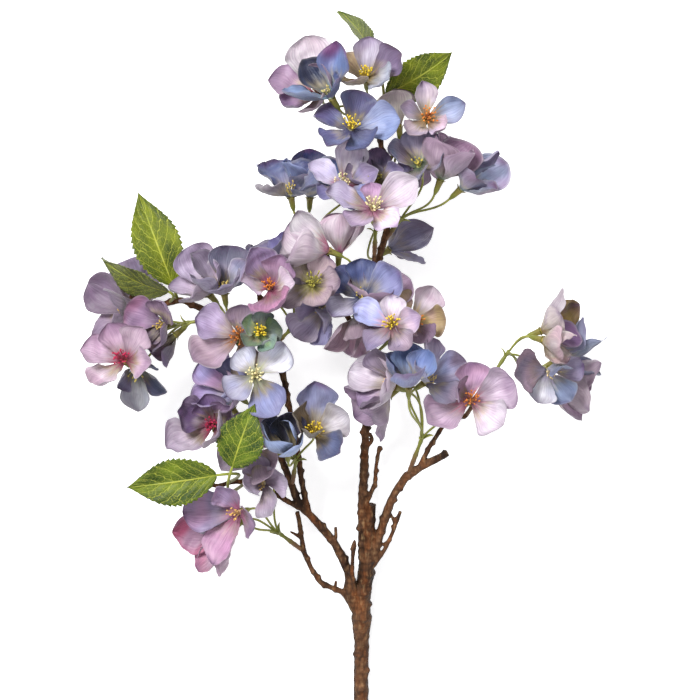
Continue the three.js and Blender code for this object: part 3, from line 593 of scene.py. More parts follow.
@dataclass(frozen=True)
class Bark:
    """Knobbly bark: dark brown with rusty and tan patches, pale pores, painted shade on the flanks and a pale
    cut end.

    Its noises are its patches, its warm spots, its rings and its grain. Each has the stretch of its axes, its
    scale and its detail.
    """

    noises: tuple[tuple[Vec3, float, float], ...] = (
        ((1.0, 0.5, 1.0), 60.0, 3.0),
        ((1.0, 0.4, 1.0), 110.0, 3.0),
        ((0.5, 3.0, 0.5), 150.0, 3.0),
        ((1.0, 0.3, 1.0), 480.0, 4.0),
    )
    lumps: float = 260.0
    pores: float = 230.0
    pore_stretch: Vec3 = (1.0, 2.2, 1.0)
    dark: int = 0x2A190F
    brown: int = 0x64432C
    rust: int = 0x80461E
    tan: int = 0xAA8C64
    cut_wood: int = 0xC9AE82
    cut_at: float = -0.2622
    cut_edge: float = 0.0002

    def make(self) -> bpy.types.Material:
        """Returns the material."""
        bench = Bench("bark")
        place = bench.place("Object")
        patches, warm, rings, grain = (
            bench.noise(bench.stretched(place, stretch), *scale) for stretch, *scale in self.noises
        )
        lumps = bench.cells(place, self.lumps)
        pores = bench.cells(bench.stretched(place, self.pore_stretch), self.pores)
        pores = bench.spread(pores, 1.0, 0.0, 0.06, 0.15)
        share = bench.spread(patches, 0.0, 1.0, 0.3, 0.56)
        colour = bench.blend("MIX", share, solid(self.dark), solid(self.brown))
        for share, code in (
            (bench.spread(warm, 0.0, 0.6, 0.52, 0.7), self.rust),
            (bench.spread(grain, 0.0, 0.42, 0.55, 0.74), self.tan),
            (bench.times(pores, 0.32), self.tan),
        ):
            colour = bench.blend("MIX", share, colour, solid(code))
        # Painted shade: the bark is darker where its surface faces sideways or down, and lighter where it faces
        # up.
        upward_for_painted_shade = bench.part(bench.put("NewGeometry", {}).outputs["Normal"], 2)
        colour = bench.shaded(
            colour,
            bench.spread(grain, 0.52, 1.1, 0.3, 0.52),
            bench.spread(rings, 0.8, 1.1, 0.3, 0.6),
            bench.spread(lumps, 1.16, 0.68, 0.0, 0.6),
            bench.spread(upward_for_painted_shade, 0.28, 1.12, 0.15, 0.95),
        )
        cut = bench.spread(bench.part(place, 1), 0.0, 1.0, self.cut_at, self.cut_at - self.cut_edge)
        layers = ((patches, 0.6, 0.0016), (rings, 0.5, 0.0008), (lumps, 0.5, 0.0009), (grain, 0.8, 0.0008))
        return bench.finish(
            Base_Color=bench.blend("MIX", cut, colour, solid(self.cut_wood)),
            Normal=bench.relief(*layers),
            Roughness=bench.spread(grain, 0.55, 0.78),
            Specular_IOR_Level=0.16,
        )


@dataclass(frozen=True)
class PaleTable:
    """The plain pale surface that the branch lies on, lit softly from within."""

    shade: float = 0.93
    cloud: float = 0.012
    glow: float = 0.55

    def make(self) -> bpy.types.Material:
        """Returns the material."""
        bench = Bench("pale_table")
        cloud = bench.noise(bench.place("Object"), 3.0, 1.0)
        return bench.finish(
            Base_Color=bench.blend("MIX", cloud, grey(self.shade), grey(self.shade - self.cloud)),
            Roughness=0.8,
            Specular_IOR_Level=0.1,
            Emission_Color=grey(1.0),
            Emission_Strength=self.glow,
        )


@dataclass(frozen=True)
class Finishes:
    """Every material of the branch, made once."""

    petal: bpy.types.Material
    pollen: bpy.types.Material
    green: bpy.types.Material
    leaf: bpy.types.Material
    bark: bpy.types.Material

    @staticmethod
    def make() -> "Finishes":
        """Makes them all."""
        return Finishes(*(skin().make() for skin in (PetalSilk, Pollen, GreenSkin, LeafSkin, Bark)))


# ---------------------------------------------------------------- flowers


class Anthers(Enum):
    """The colours that the tuft of stamens has."""

    YELLOW = 0xE3C53A
    ORANGE = 0xCC7A34
    OLIVE = 0xA8A046
    PALE = 0xEBDDA6
    CRIMSON = 0xB02A4C


class Stray(Enum):
    """The colours that stray from one flower to the next."""

    SLATE = 0x7C84AE
    MAUVE = 0xA283AA
    LILAC = 0xCBBEDC
    DUST = 0xCDB0C2
    STONE = 0xA9A3B4


def codes(words: str) -> tuple[int, ...]:
    """The colour codes in a row of words such as E8C93A."""
    return tuple(int(word, 16) for word in words.split())


def ring(*lengths: float) -> tuple[Pair, ...]:
    """Petals of these lengths, evenly turned."""
    return tuple((360 / len(lengths) * k, length) for k, length in enumerate(lengths))


@dataclass(frozen=True)
class PetalTint:
    """The colours of a flower's petals: at the root, on the blade, at the tip, in patches, on the back."""

    heart: int
    body: int
    tip: int
    patch: int
    back: int = 0


@dataclass(frozen=True)
class Bloom:
    """One flower.

    It springs at a place and looks a way. Its petals leave that way by an angle at the root and another at
    the tip, and each has its turn, in degrees from the branch's tip, and its length. Its colours are codes in
    the order of PetalTint. Its accents are the body and tip colours of single petals, with nothing between
    the commas for a petal that has none.
    """

    name: str
    umbel: str
    at: Vec3
    face: Vec3
    opening: Pair
    petals: tuple[Pair, ...]
    colours: str
    accents: str = ""
    fused: str = ""
    anthers: Anthers = Anthers.YELLOW
    crinkle: float = 1.0
    slim: float = 1.0
    tuft: float = 0.5

    @property
    def axis(self) -> np.ndarray:
        """The way that it looks, at length 1."""
        return unit(np.array(self.face))

    @property
    def body(self) -> str:
        """The name of the solid that it is part of."""
        return self.fused or self.name

    @property
    def tint(self) -> PetalTint:
        """The colours that its petals share."""
        return PetalTint(*codes(self.colours))

    def accent(self, index: int) -> tuple[int, ...]:
        """The body and tip colours of a petal of its own colours, or nothing."""
        rows = self.accents.split(",")
        return codes(rows[index]) if index < len(rows) else ()

    def turn(self, index: int) -> float:
        """How far a petal is turned about the axis. Past the last one the count goes on round."""
        count = len(self.petals)
        return math.radians(self.petals[index % count][0] + 360 * (index // count))

    def outward(self, turn: float) -> np.ndarray:
        """The way out from the axis at a turn about it."""
        return radial(self.axis, turn)


@dataclass(frozen=True)
class PetalForm:
    """The measures that all petals share, and the bends and growths in which a petal may have found room."""

    width_share: float = 0.9
    cup: float = 0.3
    twist: float = 16.0
    claw: float = 0.26
    broad: float = 0.58
    rise: float = 1.15
    fall: float = 0.55
    boss_radius: float = 2.3
    boss_height: float = 2.0
    cupped: float = 104.0
    overlap: float = 3.2
    half_solid: float = 0.45
    match: float = 0.03
    chance_matches: int = 3
    bends: tuple[int, ...] = (0, -8, 8, -16, 16, -28, 28, -42, 42, -58)
    growths: tuple[float, ...] = (1.0, 0.85, 0.7)


FORM = PetalForm()


class PetalSurface:
    """A petal's surface: its rib is an arc between two opening angles, and it is cupped and twisted."""

    def __init__(self, bloom: Bloom, seed: int, index: int, bend: float, growth: float) -> None:
        """Sets out the petal.

        Args:
            bloom: its flower.
            seed: the flower's number.
            index: the petal's number.
            bend: degrees by which it bends clear of its neighbours.
            growth: the share of its full length.
        """
        step = seed * 7 + index
        turn = bloom.turn(index)
        self.seed = step
        self.axis = bloom.axis
        self.out = bloom.outward(turn)
        self.across = np.cross(self.axis, self.out)
        self.length = bloom.petals[index][1] * growth
        usual = sum(length for _, length in bloom.petals) / len(bloom.petals)
        self.width = (self.length + usual) / 2 * FORM.width_share * (1 + 0.07 * scatter(step, 3))
        lean = 3 * scatter(step, 4)
        self.first = math.radians(bloom.opening[0] + lean + 0.7 * bend)
        self.last = math.radians(bloom.opening[1] + lean + 1.1 * bend + 0.01)
        self.twist = math.radians(FORM.twist + 2 * scatter(step, 5))
        self.share = min(bloom.turn(index + 1) - turn, turn - bloom.turn(index - 1)) / 2
        self.root_radius = FORM.boss_radius * math.cos(self.share)
        self.root = np.array(bloom.at) + self.axis * FORM.boss_height / 2 + self.out * self.root_radius
        self.narrow = FORM.claw if sum(bloom.opening) < FORM.cupped else FORM.broad

    def rib(self, u: np.ndarray) -> tuple[np.ndarray, ...]:
        """The petal's middle line.

        Args:
            u: shares of the length, from the root.

        Returns:
            Its places, the ways across it and up from it there, and its run out from the root.
        """
        angle = self.first + (self.last - self.first) * u
        run = self.length * (math.cos(self.first) - np.cos(angle)) / (self.last - self.first)
        climb = self.length * (np.sin(angle) - math.sin(self.first)) / (self.last - self.first)
        inward = np.sin(angle)[..., None] * self.axis - np.cos(angle)[..., None] * self.out
        tilt = (self.twist * np.minimum(1, 3 * u))[..., None]
        level = self.across * np.cos(tilt) + inward * np.sin(tilt)
        normal = inward * np.cos(tilt) - self.across * np.sin(tilt)
        place = self.root + run[..., None] * self.out + climb[..., None] * self.axis
        return place, level, normal, run

    def outline(self, u: np.ndarray) -> np.ndarray:
        """Half the petal's width, before its neighbours narrow it."""
        widest = FORM.rise / (FORM.rise + FORM.fall)
        return self.width / 2 * (u / widest) ** FORM.rise * ((1 - u) / (1 - widest)) ** FORM.fall

    def room(self, run: np.ndarray, u: np.ndarray, ease_off: float) -> np.ndarray:
        """Half the width that the neighbours leave."""
        beyond = np.maximum(0, u - self.narrow)
        return (self.root_radius + run) * math.tan(self.share) * (ease_off + FORM.overlap * beyond)

    def solid_corners(self) -> np.ndarray:
        """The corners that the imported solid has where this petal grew.

        Returns:
            Their places, those on the upper face first.
        """
        u = np.array([FORM.broad, FORM.broad, FORM.broad, 0.86, 1.0, 0.86])
        v = np.array([-1.0, 0.0, 1.0, -1.0, 0.0, 1.0])
        place, level, normal, run = self.rib(u)
        half = np.minimum(self.outline(u), self.room(run, u, 0.85))
        lift = FORM.cup * half * v * v * np.minimum(1, 2.5 * u)
        points = place + level * (half * v)[:, None] + normal * lift[:, None]
        return np.concatenate([points + normal * FORM.half_solid, points - normal * FORM.half_solid])


def settled(bloom: Bloom, seed: int, index: int, corners: np.ndarray) -> PetalSurface | None:
    """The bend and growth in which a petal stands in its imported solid.

    Args:
        bloom: the flower.
        seed: the flower's number.
        index: the petal's number.
        corners: every corner of the solid, in millimetres.

    Returns:
        The petal's surface, or None where it had no room to grow.
    """
    best, most = None, FORM.chance_matches
    for growth in FORM.growths:
        for bend in FORM.bends:
            petal = PetalSurface(bloom, seed, index, bend, growth)
            gaps = np.linalg.norm(petal.solid_corners()[:, None] - corners[None], axis=2).min(axis=1)
            found = int((gaps < FORM.match).sum())
            if found > most:
                best, most = petal, found
    return best


@dataclass
class FinePetal:
    """The finished petal: thin, veined, cupped like a spoon, with a waved edge and a tip that may curl.

    Its heights are for a petal of the usual length. Each wave round its margin has the fewest and the most
    crests, and its height. Most pairs of numbers are the least and the most that is drawn.
    """

    rows: int = 26
    columns: int = 19
    last_row: float = 0.996
    row_crowd: float = 1.7
    side_crowd: float = 0.86
    usual_length: float = 30.0
    half_thickness: float = 0.24
    root_thickness: float = 0.35
    cup: float = 0.44
    spoon: float = 1.6
    ruffle: float = 0.72
    waves: tuple[tuple[int, int, float], ...] = ((3, 6, 1.0), (7, 12, 0.55), (13, 19, 0.25))
    crease: float = 0.3
    midline: float = 0.75
    hills: float = 0.6
    curl: Pair = (-1.8, 2.6)
    roll: Pair = (-0.2, 0.9)
    sway: float = 0.7
    rise: float = 1.15
    fall: Pair = (0.46, 0.7)
    slim_below: float = 0.75
    steepest: float = 0.84
    slim_steepest: float = 1.15
    fullness: float = 1.12
    least_width: float = 0.02
    base_width: float = 3.4
    margin_from: float = 0.45
    edge_thinning: float = 0.55
    chart_step: Pair = (3.7, 2.3)
    blade_from: Pair = (0.12, 0.5)
    wave_centre: float = 0.42
    depth: float = 0.7
    stain: int = 0x6A4677
    stained: float = 0.55
    straw: int = 0xB5A26C
    cream: int = 0xCFC09A
    dark_rim: int = 0x4C3157
    flush_at: float = 0.27
    flush_reach: float = 0.13
    # A painted highlight along the middle of the blade: its strength, where it lies and how far it reaches.
    glow: float = 0.26
    painted_highlight_at: float = 0.6
    painted_highlight_reach: float = 0.22
    # Painted shade towards the root, and random clouds of lighter and darker tone.
    shadow: float = 0.3
    clouds: float = 0.1
    brightest: float = 0.95

    def lay(self, patches: Patchwork, petal: PetalSurface, bloom: Bloom, index: int) -> None:
        """Adds the petal to the flower's patches.

        Args:
            patches: where it goes.
            petal: its surface.
            bloom: its flower.
            index: its number.
        """
        dice = np.random.default_rng(petal.seed + Seed.PETAL)
        scale = petal.length / self.usual_length
        u = 1 - (1 - np.linspace(0.0, self.last_row, self.rows)) ** self.row_crowd
        quarter = math.pi / 2 * self.side_crowd
        v = np.sin(np.linspace(-1, 1, self.columns) * math.pi / 2 * self.side_crowd) / math.sin(quarter)
        u, v = np.meshgrid(u, v, indexing="ij")
        place, level, normal, run = petal.rib(u)
        half = self.half_width(petal, bloom, u, run, dice)
        x = half * v
        beyond = np.clip((u - self.margin_from) / (1 - self.margin_from), 0, 1)
        edge = np.minimum(1, (v**4 + beyond**4) ** 0.25)
        lift = self.lift(petal, bloom, (u, v, x, half, edge), dice)
        sway = dice.normal() * self.sway * scale * u * u
        middle = place + level * (x + sway)[..., None] + normal * lift[..., None]
        thick = self.half_thickness * (1 - self.edge_thinning * edge**3)
        thick = (thick + self.root_thickness * (1 - ease(0, 0.15, u)))[..., None]
        tints = self.colours(petal, bloom, index, (u, v, edge), dice)
        across, along = self.chart_step
        patches.blade(middle, normal, thick, tints, u + across * petal.seed, v + along * petal.seed)

    def half_width(
        self, petal: PetalSurface, bloom: Bloom, u: np.ndarray, run: np.ndarray, dice: np.random.Generator
    ) -> np.ndarray:
        """Half the petal's width. A small fall leaves its end round.

        Args:
            petal: its surface.
            bloom: its flower.
            u: shares of its length.
            run: how far out from the root each is.
            dice: the petal's own random numbers.

        Returns:
            The half width at each share.
        """
        most = self.steepest if bloom.slim > self.slim_below else self.slim_steepest
        fall = min(dice.uniform(*self.fall) + 1.5 * (1 - bloom.slim), most)
        widest = self.rise / (self.rise + fall)
        curve = (u / widest) ** self.rise * ((1 - u) / (1 - widest)) ** fall
        free = np.maximum(petal.width / 2 * self.fullness * curve * bloom.slim, self.least_width)
        room = np.maximum(petal.room(run, u, 1.2), self.least_width)
        base = np.minimum((petal.root_radius + run) * math.tan(petal.share), self.base_width)
        return np.maximum((free**-5 + room**-5) ** -0.2, base * (1 - ease(0.25, 0.55, u)))

    def lift(
        self, petal: PetalSurface, bloom: Bloom, grids: tuple[np.ndarray, ...], dice: np.random.Generator
    ) -> np.ndarray:
        """How far the petal stands off its smooth surface.

        Args:
            petal: its surface.
            bloom: its flower.
            grids: shares of its length and of its half width, places across it, its half width, and how
                near each point is to the margin.
            dice: the petal's own random numbers.

        Returns:
            The height at each point.
        """
        u, v, x, half, edge = grids
        y = petal.length * u
        blade = ease(*self.blade_from, u)
        scale = petal.length / self.usual_length
        around = np.arctan2(x, y - self.wave_centre * petal.length)
        wave = np.zeros_like(u)
        for fewest, most, height in self.waves:
            wave += height * np.sin(dice.integers(fewest, most) * around + dice.uniform(0, 6.3))
        lift = self.cup * half * v * v * np.minimum(1, 2.5 * u)
        lift += self.ruffle * bloom.crinkle * scale * wave * edge**3 * blade
        creases = np.cos(v * dice.uniform(7, 10) + dice.uniform(-1, 1)) * (1 - 0.5 * np.abs(v))
        creases += 0.5 * np.cos(v * dice.uniform(15, 19) + 1.5 * u + dice.uniform(-1, 1))
        lift += self.crease * scale * creases * np.sin(math.pi * np.minimum(1, u * 1.05)) ** 0.7
        lift -= self.midline * scale * np.exp(-((v / 0.10) ** 2)) * (1 - u) ** 0.5 * blade
        lift -= self.spoon * scale * np.sin(math.pi * u) * (1 - v * v)
        lift += self.hills * bloom.crinkle * scale * Ripple(petal.seed).at(x / 11, y / 13) * blade
        lift -= dice.uniform(*self.curl) * scale * ease(0.7, 1.0, u) * (1 - 0.4 * v * v)
        roll = dice.uniform(*self.roll) * scale
        lift -= roll * ease(0.72, 1.0, np.abs(v)) * blade * np.sin(math.pi * np.clip(u, 0, 1)) ** 0.5
        return lift

    def colours(
        self,
        petal: PetalSurface,
        bloom: Bloom,
        index: int,
        grids: tuple[np.ndarray, ...],
        dice: np.random.Generator,
    ) -> tuple[np.ndarray, np.ndarray]:
        """The colours of a petal's two faces.

        Args:
            petal: its surface.
            bloom: its flower.
            index: its number.
            grids: shares of its length and of its half width, and how near each point is to the margin.
            dice: the petal's own random numbers.

        Returns:
            The colour of each point of the upper and of the under face.
        """
        u, v, edge = grids
        tint = bloom.tint
        accent = bloom.accent(index)
        body, end = map(paint, accent or (tint.body, tint.tip))
        cloud = Ripple(petal.seed + Seed.CLOUD, 4).at(u * 1.5, v * 0.7)
        own = 0.08 if accent else float(dice.beta(0.8, 1.3))
        base = mixed(body, paint(tint.patch), np.clip(0.8 * own + 0.4 * cloud, 0, 1))
        stray = paint(list(Stray)[int(dice.integers(len(Stray)))].value)
        share = dice.uniform(0, 0.4) + 0.3 * v * dice.normal()
        base = mixed(base, stray, np.clip(share, 0, 0.6) * (0.22 if accent else 0.9))
        base = mixed(base, end, ease(0.45, 1.0, u + 0.2 * cloud) * dice.uniform(0.4, 1.0))
        if dice.uniform() < self.stained:
            base = mixed(base, paint(self.stain), ease(0.84, 1.02, u + 0.05 * cloud) * dice.uniform(0.3, 0.8))
        streak = 0.08 * Ripple(petal.seed + Seed.STREAK, 6).at(v * 3.2, u * 0.3)
        flush = 0.8 * np.exp(-(((u + streak - self.flush_at) / self.flush_reach) ** 2)) * dice.uniform(0, 1)
        base = mixed(base, paint(self.straw if dice.uniform() < 0.5 else self.cream), flush)
        base = mixed(paint(tint.heart), base, ease(0.02, 0.33, u + streak + 0.03 * cloud))
        # Painted light: a painted highlight along the middle of the blade, painted shade towards the root, and
        # random clouds of tone.
        glow = self.glow * np.exp(-(((u - self.painted_highlight_at) / self.painted_highlight_reach) ** 2)) * (1 - v * v)
        light = 1 + glow - self.shadow * (1 - ease(0.08, 0.5, u))
        light += self.clouds * Ripple(petal.seed + Seed.LIGHT, 5).at(u * 1.8, v * 1.1)
        # A positive draw paints a pale highlight along the margin; a negative one a dark line along it.
        pale_rim = dice.uniform(-0.5, 0.5)
        if pale_rim > 0:
            rim_tint = 1 - (1 - base) * 0.4
            rim = ease(0.88, 1.0, edge) * pale_rim
        else:
            rim_tint = mixed(base * 0.4, paint(self.dark_rim), 0.4)
            rim = ease(0.93, 1.0, edge) * -pale_rim * 1.5
        upper = mixed(base * light[..., None], rim_tint, rim) * math.exp(0.2 * dice.normal() - 0.04)
        back = paint(tint.back) if tint.back else base * 0.82 + 0.09
        under = mixed(base, back, 0.85)
        return tuple(np.clip(face * self.depth, 0, self.brightest) for face in (upper, under))


@dataclass
class Tuft:
    """The heart of a flower: a small boss and the tuft of stamens that it bears."""

    stamens: int = 24
    length: float = 9.4
    filament: float = 0.27
    anther: Pair = (0.62, 0.98)
    spread: Pair = (5.0, 30.0)
    closed: float = 20.0
    wide_open: float = 44.0
    rings: int = 6
    boss: int = 0xB7B04E

    def lay(self, patches: Patchwork, bloom: Bloom, seed: int) -> None:
        """Adds the heart to the flower's patches. A flower that is nearly closed shows no stamens.

        Args:
            patches: where it goes.
            bloom: the flower.
            seed: its number.
        """
        axis = bloom.axis
        at = np.array(bloom.at)
        shares = np.array([0.0, 0.4, 0.75, 0.93, 1.0])
        radii = FORM.boss_radius * 1.05 * np.array([0.97, 1.0, 0.8, 0.45, 0.1])
        heart = mixed(paint(bloom.tint.heart), paint(self.boss), 0.55)
        patches.tube(at + np.outer(shares * FORM.boss_height * 1.1, axis), radii, 14, heart, 1)
        if bloom.opening[1] < self.closed:
            return
        dice = np.random.default_rng(seed + Seed.TUFT)
        crowd = min(1.0, bloom.opening[1] / self.wide_open)
        count = round(self.stamens * bloom.tuft)
        shy = 0.88 if crowd < 1 else 1.0
        own = mixed(paint(bloom.anthers.value), paint(bloom.tint.heart), 0.7 * (1 - bloom.tuft))
        pale = mixed(own * 0.8 + 0.1, own * 0.75, np.linspace(0, 1, self.rings))
        thick = np.linspace(self.filament * 1.25, self.filament * 0.8, self.rings)
        shares = np.linspace(0, 1, self.rings)[:, None]
        for k in range(count):
            out = bloom.outward(2 * math.pi * (k * GOLDEN_TURN + 0.05 * dice.normal()))
            lean = self.spread[0] + (self.spread[1] - self.spread[0]) * math.sqrt((k + 0.5) / count)
            lean = math.radians(lean) * crowd
            length = self.length * (1 + 0.14 * dice.normal()) * shy * (0.45 + 0.55 * bloom.tuft)
            foot = at + axis * FORM.boss_height * 0.8 + out * FORM.boss_radius * 0.55 * math.sqrt(k / count)
            way = axis * math.cos(lean) + out * math.sin(lean)
            bow = out * (0.9 * dice.normal()) + np.cross(axis, out) * (0.7 * dice.normal())
            path = foot + way * shares * length + bow * np.sin(math.pi * shares * 0.6) * 0.5
            patches.tube(path, thick, 5, pale, 1)
            tilt = unit(way + 0.6 * dice.normal(size=3))
            colour = np.clip(own * (1.05 + 0.14 * dice.normal()), 0, 1)
            patches.ball(path[-1], tilt, self.anther, colour, 1)


@dataclass
class Flowers:
    """All flowers whose petals run into each other, as one piece."""

    body: str
    blooms: list[tuple[int, Bloom]]
    petal: FinePetal = field(default_factory=FinePetal)
    tuft: Tuft = field(default_factory=Tuft)

    @property
    def node(self) -> str:
        """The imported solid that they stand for."""
        return ("blooms_" if len(self.blooms) > 1 else "bloom_") + self.body

    def build(self, finishes: Finishes) -> bpy.types.Object:
        """Builds and seats the piece.

        Args:
            finishes: the branch's materials.

        Returns:
            The new object.
        """
        corners = read_places(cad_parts[self.node].data) / MM - CENTRE
        patches = Patchwork()
        grown = 0
        for seed, bloom in self.blooms:
            self.tuft.lay(patches, bloom, seed)
            for index in range(len(bloom.petals)):
                petal = settled(bloom, seed, index, corners)
                if petal is not None:
                    self.petal.lay(patches, petal, bloom, index)
                    grown += 1
        piece = patches.build("petals_" + self.body, [finishes.petal, finishes.pollen])
        seat(piece, self.node, "petal_" + self.body.split("_")[-1])
        LOG.info("%s: %d petals", piece.name, grown)
        return piece


# ---------------------------------------------------------------- flower stalks


@dataclass
class Umbel:
    """A thick foot on the wood, the thin stalks that leave it, and a cup with sepals under each flower.

    The profiles of the foot and of the cup are shares of their length, and the radius there.
    """

    name: str
    seat: Vec3
    split: Vec3
    pedicel: float = 0.82
    calyx_length: float = 11.5
    gap: float = 0.3
    green: int = 0x767A2C
    fresh: int = 0x969645
    blush: int = 0x876B3C
    brown: int = 0x6B4B30
    sides: int = 20
    steps: int = 18
    bracts_round: int = 3
    bract_length: Pair = (6.5, 9.5)
    bract_half_width: float = 1.5
    sepals_round: int = 5
    sepal_length: Pair = (1.9, 2.9)
    sepal_half_width: float = 1.35
    sepal_ring: float = 2.35
    foot_profile: tuple[Pair, ...] = (
        (0.0, 1.55), (0.3, 1.75), (0.55, 1.8), (0.75, 1.15), (0.92, 1.6), (1.08, 1.15),
    )
    cup_profile: tuple[Pair, ...] = (
        (0.0, 0.85), (0.14, 1.3), (0.3, 1.95), (0.5, 2.05), (0.75, 2.3), (1.0, 2.75),
    )
    cup_rings: tuple[float, ...] = (0.06, 0.14, 0.24, 0.36, 0.5, 0.68, 0.86, 1.0)

    def socket(self, patches: Patchwork) -> None:
        """Adds the ringed foot, from the wood to where the stalks part.

        Args:
            patches: where it goes.
        """
        start, end = np.array(self.seat), np.array(self.split)
        shares = np.linspace(0, 1.08, 13)
        radii = np.interp(shares, *zip(*self.foot_profile))
        radii = radii * (1 + 0.06 * np.cos(np.arange(13) * math.pi))
        brown = mixed(paint(self.brown), paint(self.green), ease(0.3, 0.9, shares))
        patches.tube(start + np.outer(shares, end - start), radii, 12, brown)

    def bracts(self, patches: Patchwork) -> None:
        """Adds the small narrow leaves that stand round the place where the stalks part.

        Args:
            patches: where they go.
        """
        start, end = np.array(self.seat), np.array(self.split)
        axis = unit(end - start)
        dice = np.random.default_rng(int(abs(start[0] * 7 + start[1] * 3)))
        for k in range(self.bracts_round):
            out = radial(axis, math.pi * 2 / self.bracts_round * k + dice.uniform(-0.4, 0.4))
            length = dice.uniform(*self.bract_length)
            u, v = grid(0, 0.98, 10, 5)
            lean = np.radians(24 + 34 * u)
            climb, run = (length * u * np.cos(lean))[..., None], (length * u * np.sin(lean))[..., None]
            middle = end - axis * 1.5 + out * 1.0 + axis * climb + out * run
            half = self.bract_half_width * np.sin(math.pi * np.clip(u * 0.93 + 0.07, 0, 1)) ** 0.8 + 0.05
            across = np.cross(axis, out)
            normal = axis * np.sin(lean)[..., None] - out * np.cos(lean)[..., None]
            place = middle + across * (half * v)[..., None] + normal * (0.5 * half * v * v)[..., None]
            tint = mixed(paint(self.green), paint(self.fresh), u)
            patches.blade(place, normal, 0.14, (tint, tint), u, v)

    def stalk(self, patches: Patchwork, bloom: Bloom, seed: int) -> None:
        """Adds one flower's stalk, cup and sepals.

        Args:
            patches: where they go.
            bloom: the flower.
            seed: its number.
        """
        start, end = np.array(self.seat), np.array(self.split)
        axis = bloom.axis
        foot = np.array(bloom.at) - axis * (self.calyx_length + self.gap)
        rim = np.array(bloom.at) - axis * self.gap
        reach = np.linalg.norm(foot - end)
        parting = (unit(end - start) + unit(foot - end)) / 2
        knots = [end, end + parting * reach * 0.4, foot - axis * reach * 0.4, foot]
        shares = np.linspace(0, 1, self.steps)[:, None]
        weights = [(1 - shares) ** 3, 3 * shares * (1 - shares) ** 2, 3 * shares**2 * (1 - shares), shares**3]
        path = sum(weight * knot for weight, knot in zip(weights, knots))
        thick = self.pedicel * (1 + 0.05 * np.sin(np.arange(self.steps) * 1.9 + seed))
        greens = mixed(paint(self.green), paint(self.fresh), np.linspace(0.1, 0.8, self.steps))
        rise = np.array(self.cup_rings)
        cup = np.interp(rise, *zip(*self.cup_profile))
        ribs = 1 + 0.05 * np.cos(5 * (2 * math.pi * np.arange(self.sides) / self.sides))
        radii = np.concatenate([np.repeat(thick[:, None], self.sides, axis=1), cup[:, None] * ribs])
        centres = np.concatenate([path, foot + np.outer(rise, rim - foot)])
        cups = mixed(paint(self.green), paint(self.blush), 0.5 * ease(0.2, 1.0, rise))
        patches.tube(centres, radii, self.sides, np.concatenate([greens, cups]))
        self.sepals(patches, bloom, seed, rim)

    def sepals(self, patches: Patchwork, bloom: Bloom, seed: int, rim: np.ndarray) -> None:
        """Adds the five pointed sepals, folded back from the cup's rim.

        Args:
            patches: where they go.
            bloom: the flower.
            seed: its number.
            rim: the middle of the rim.
        """
        dice = np.random.default_rng(seed + Seed.SEPALS)
        axis = bloom.axis
        for k in range(self.sepals_round):
            out = bloom.outward(2 * math.pi * (k / self.sepals_round) + 0.3 * seed + 0.12 * dice.normal())
            across = np.cross(axis, out)
            length = dice.uniform(*self.sepal_length)
            u, v = grid(0, 0.97, 8, 5)
            lean = np.radians(min(bloom.opening[0] + 12, 84) - 6 * u)
            way = axis * np.cos(lean)[..., None] + out * np.sin(lean)[..., None]
            normal = axis * np.sin(lean)[..., None] - out * np.cos(lean)[..., None]
            half = self.sepal_half_width * (1 - u) ** 0.75
            place = rim - axis * 0.8 + out * self.sepal_ring + way * (length * u)[..., None]
            place = place + across * (half * v)[..., None] + normal * (0.3 * half * v * v)[..., None]
            tint = mixed(paint(self.green), paint(self.blush), 0.6 * u)
            patches.blade(place, normal, 0.15, (tint, tint), u, v)

    def build(self, blooms: list[tuple[int, Bloom]], finishes: Finishes) -> bpy.types.Object:
        """Builds and seats the umbel's stalks.

        Args:
            blooms: every flower with its number.
            finishes: the branch's materials.

        Returns:
            The new object.
        """
        patches = Patchwork()
        self.socket(patches)
        self.bracts(patches)
        for seed, bloom in blooms:
            if bloom.umbel == self.name:
                self.stalk(patches, bloom, seed)
        piece = patches.build("green_stalks_" + self.name, [finishes.green])
        seat(piece, "stalks_" + self.name, "stalk")
        return piece


# ---------------------------------------------------------------- leaves


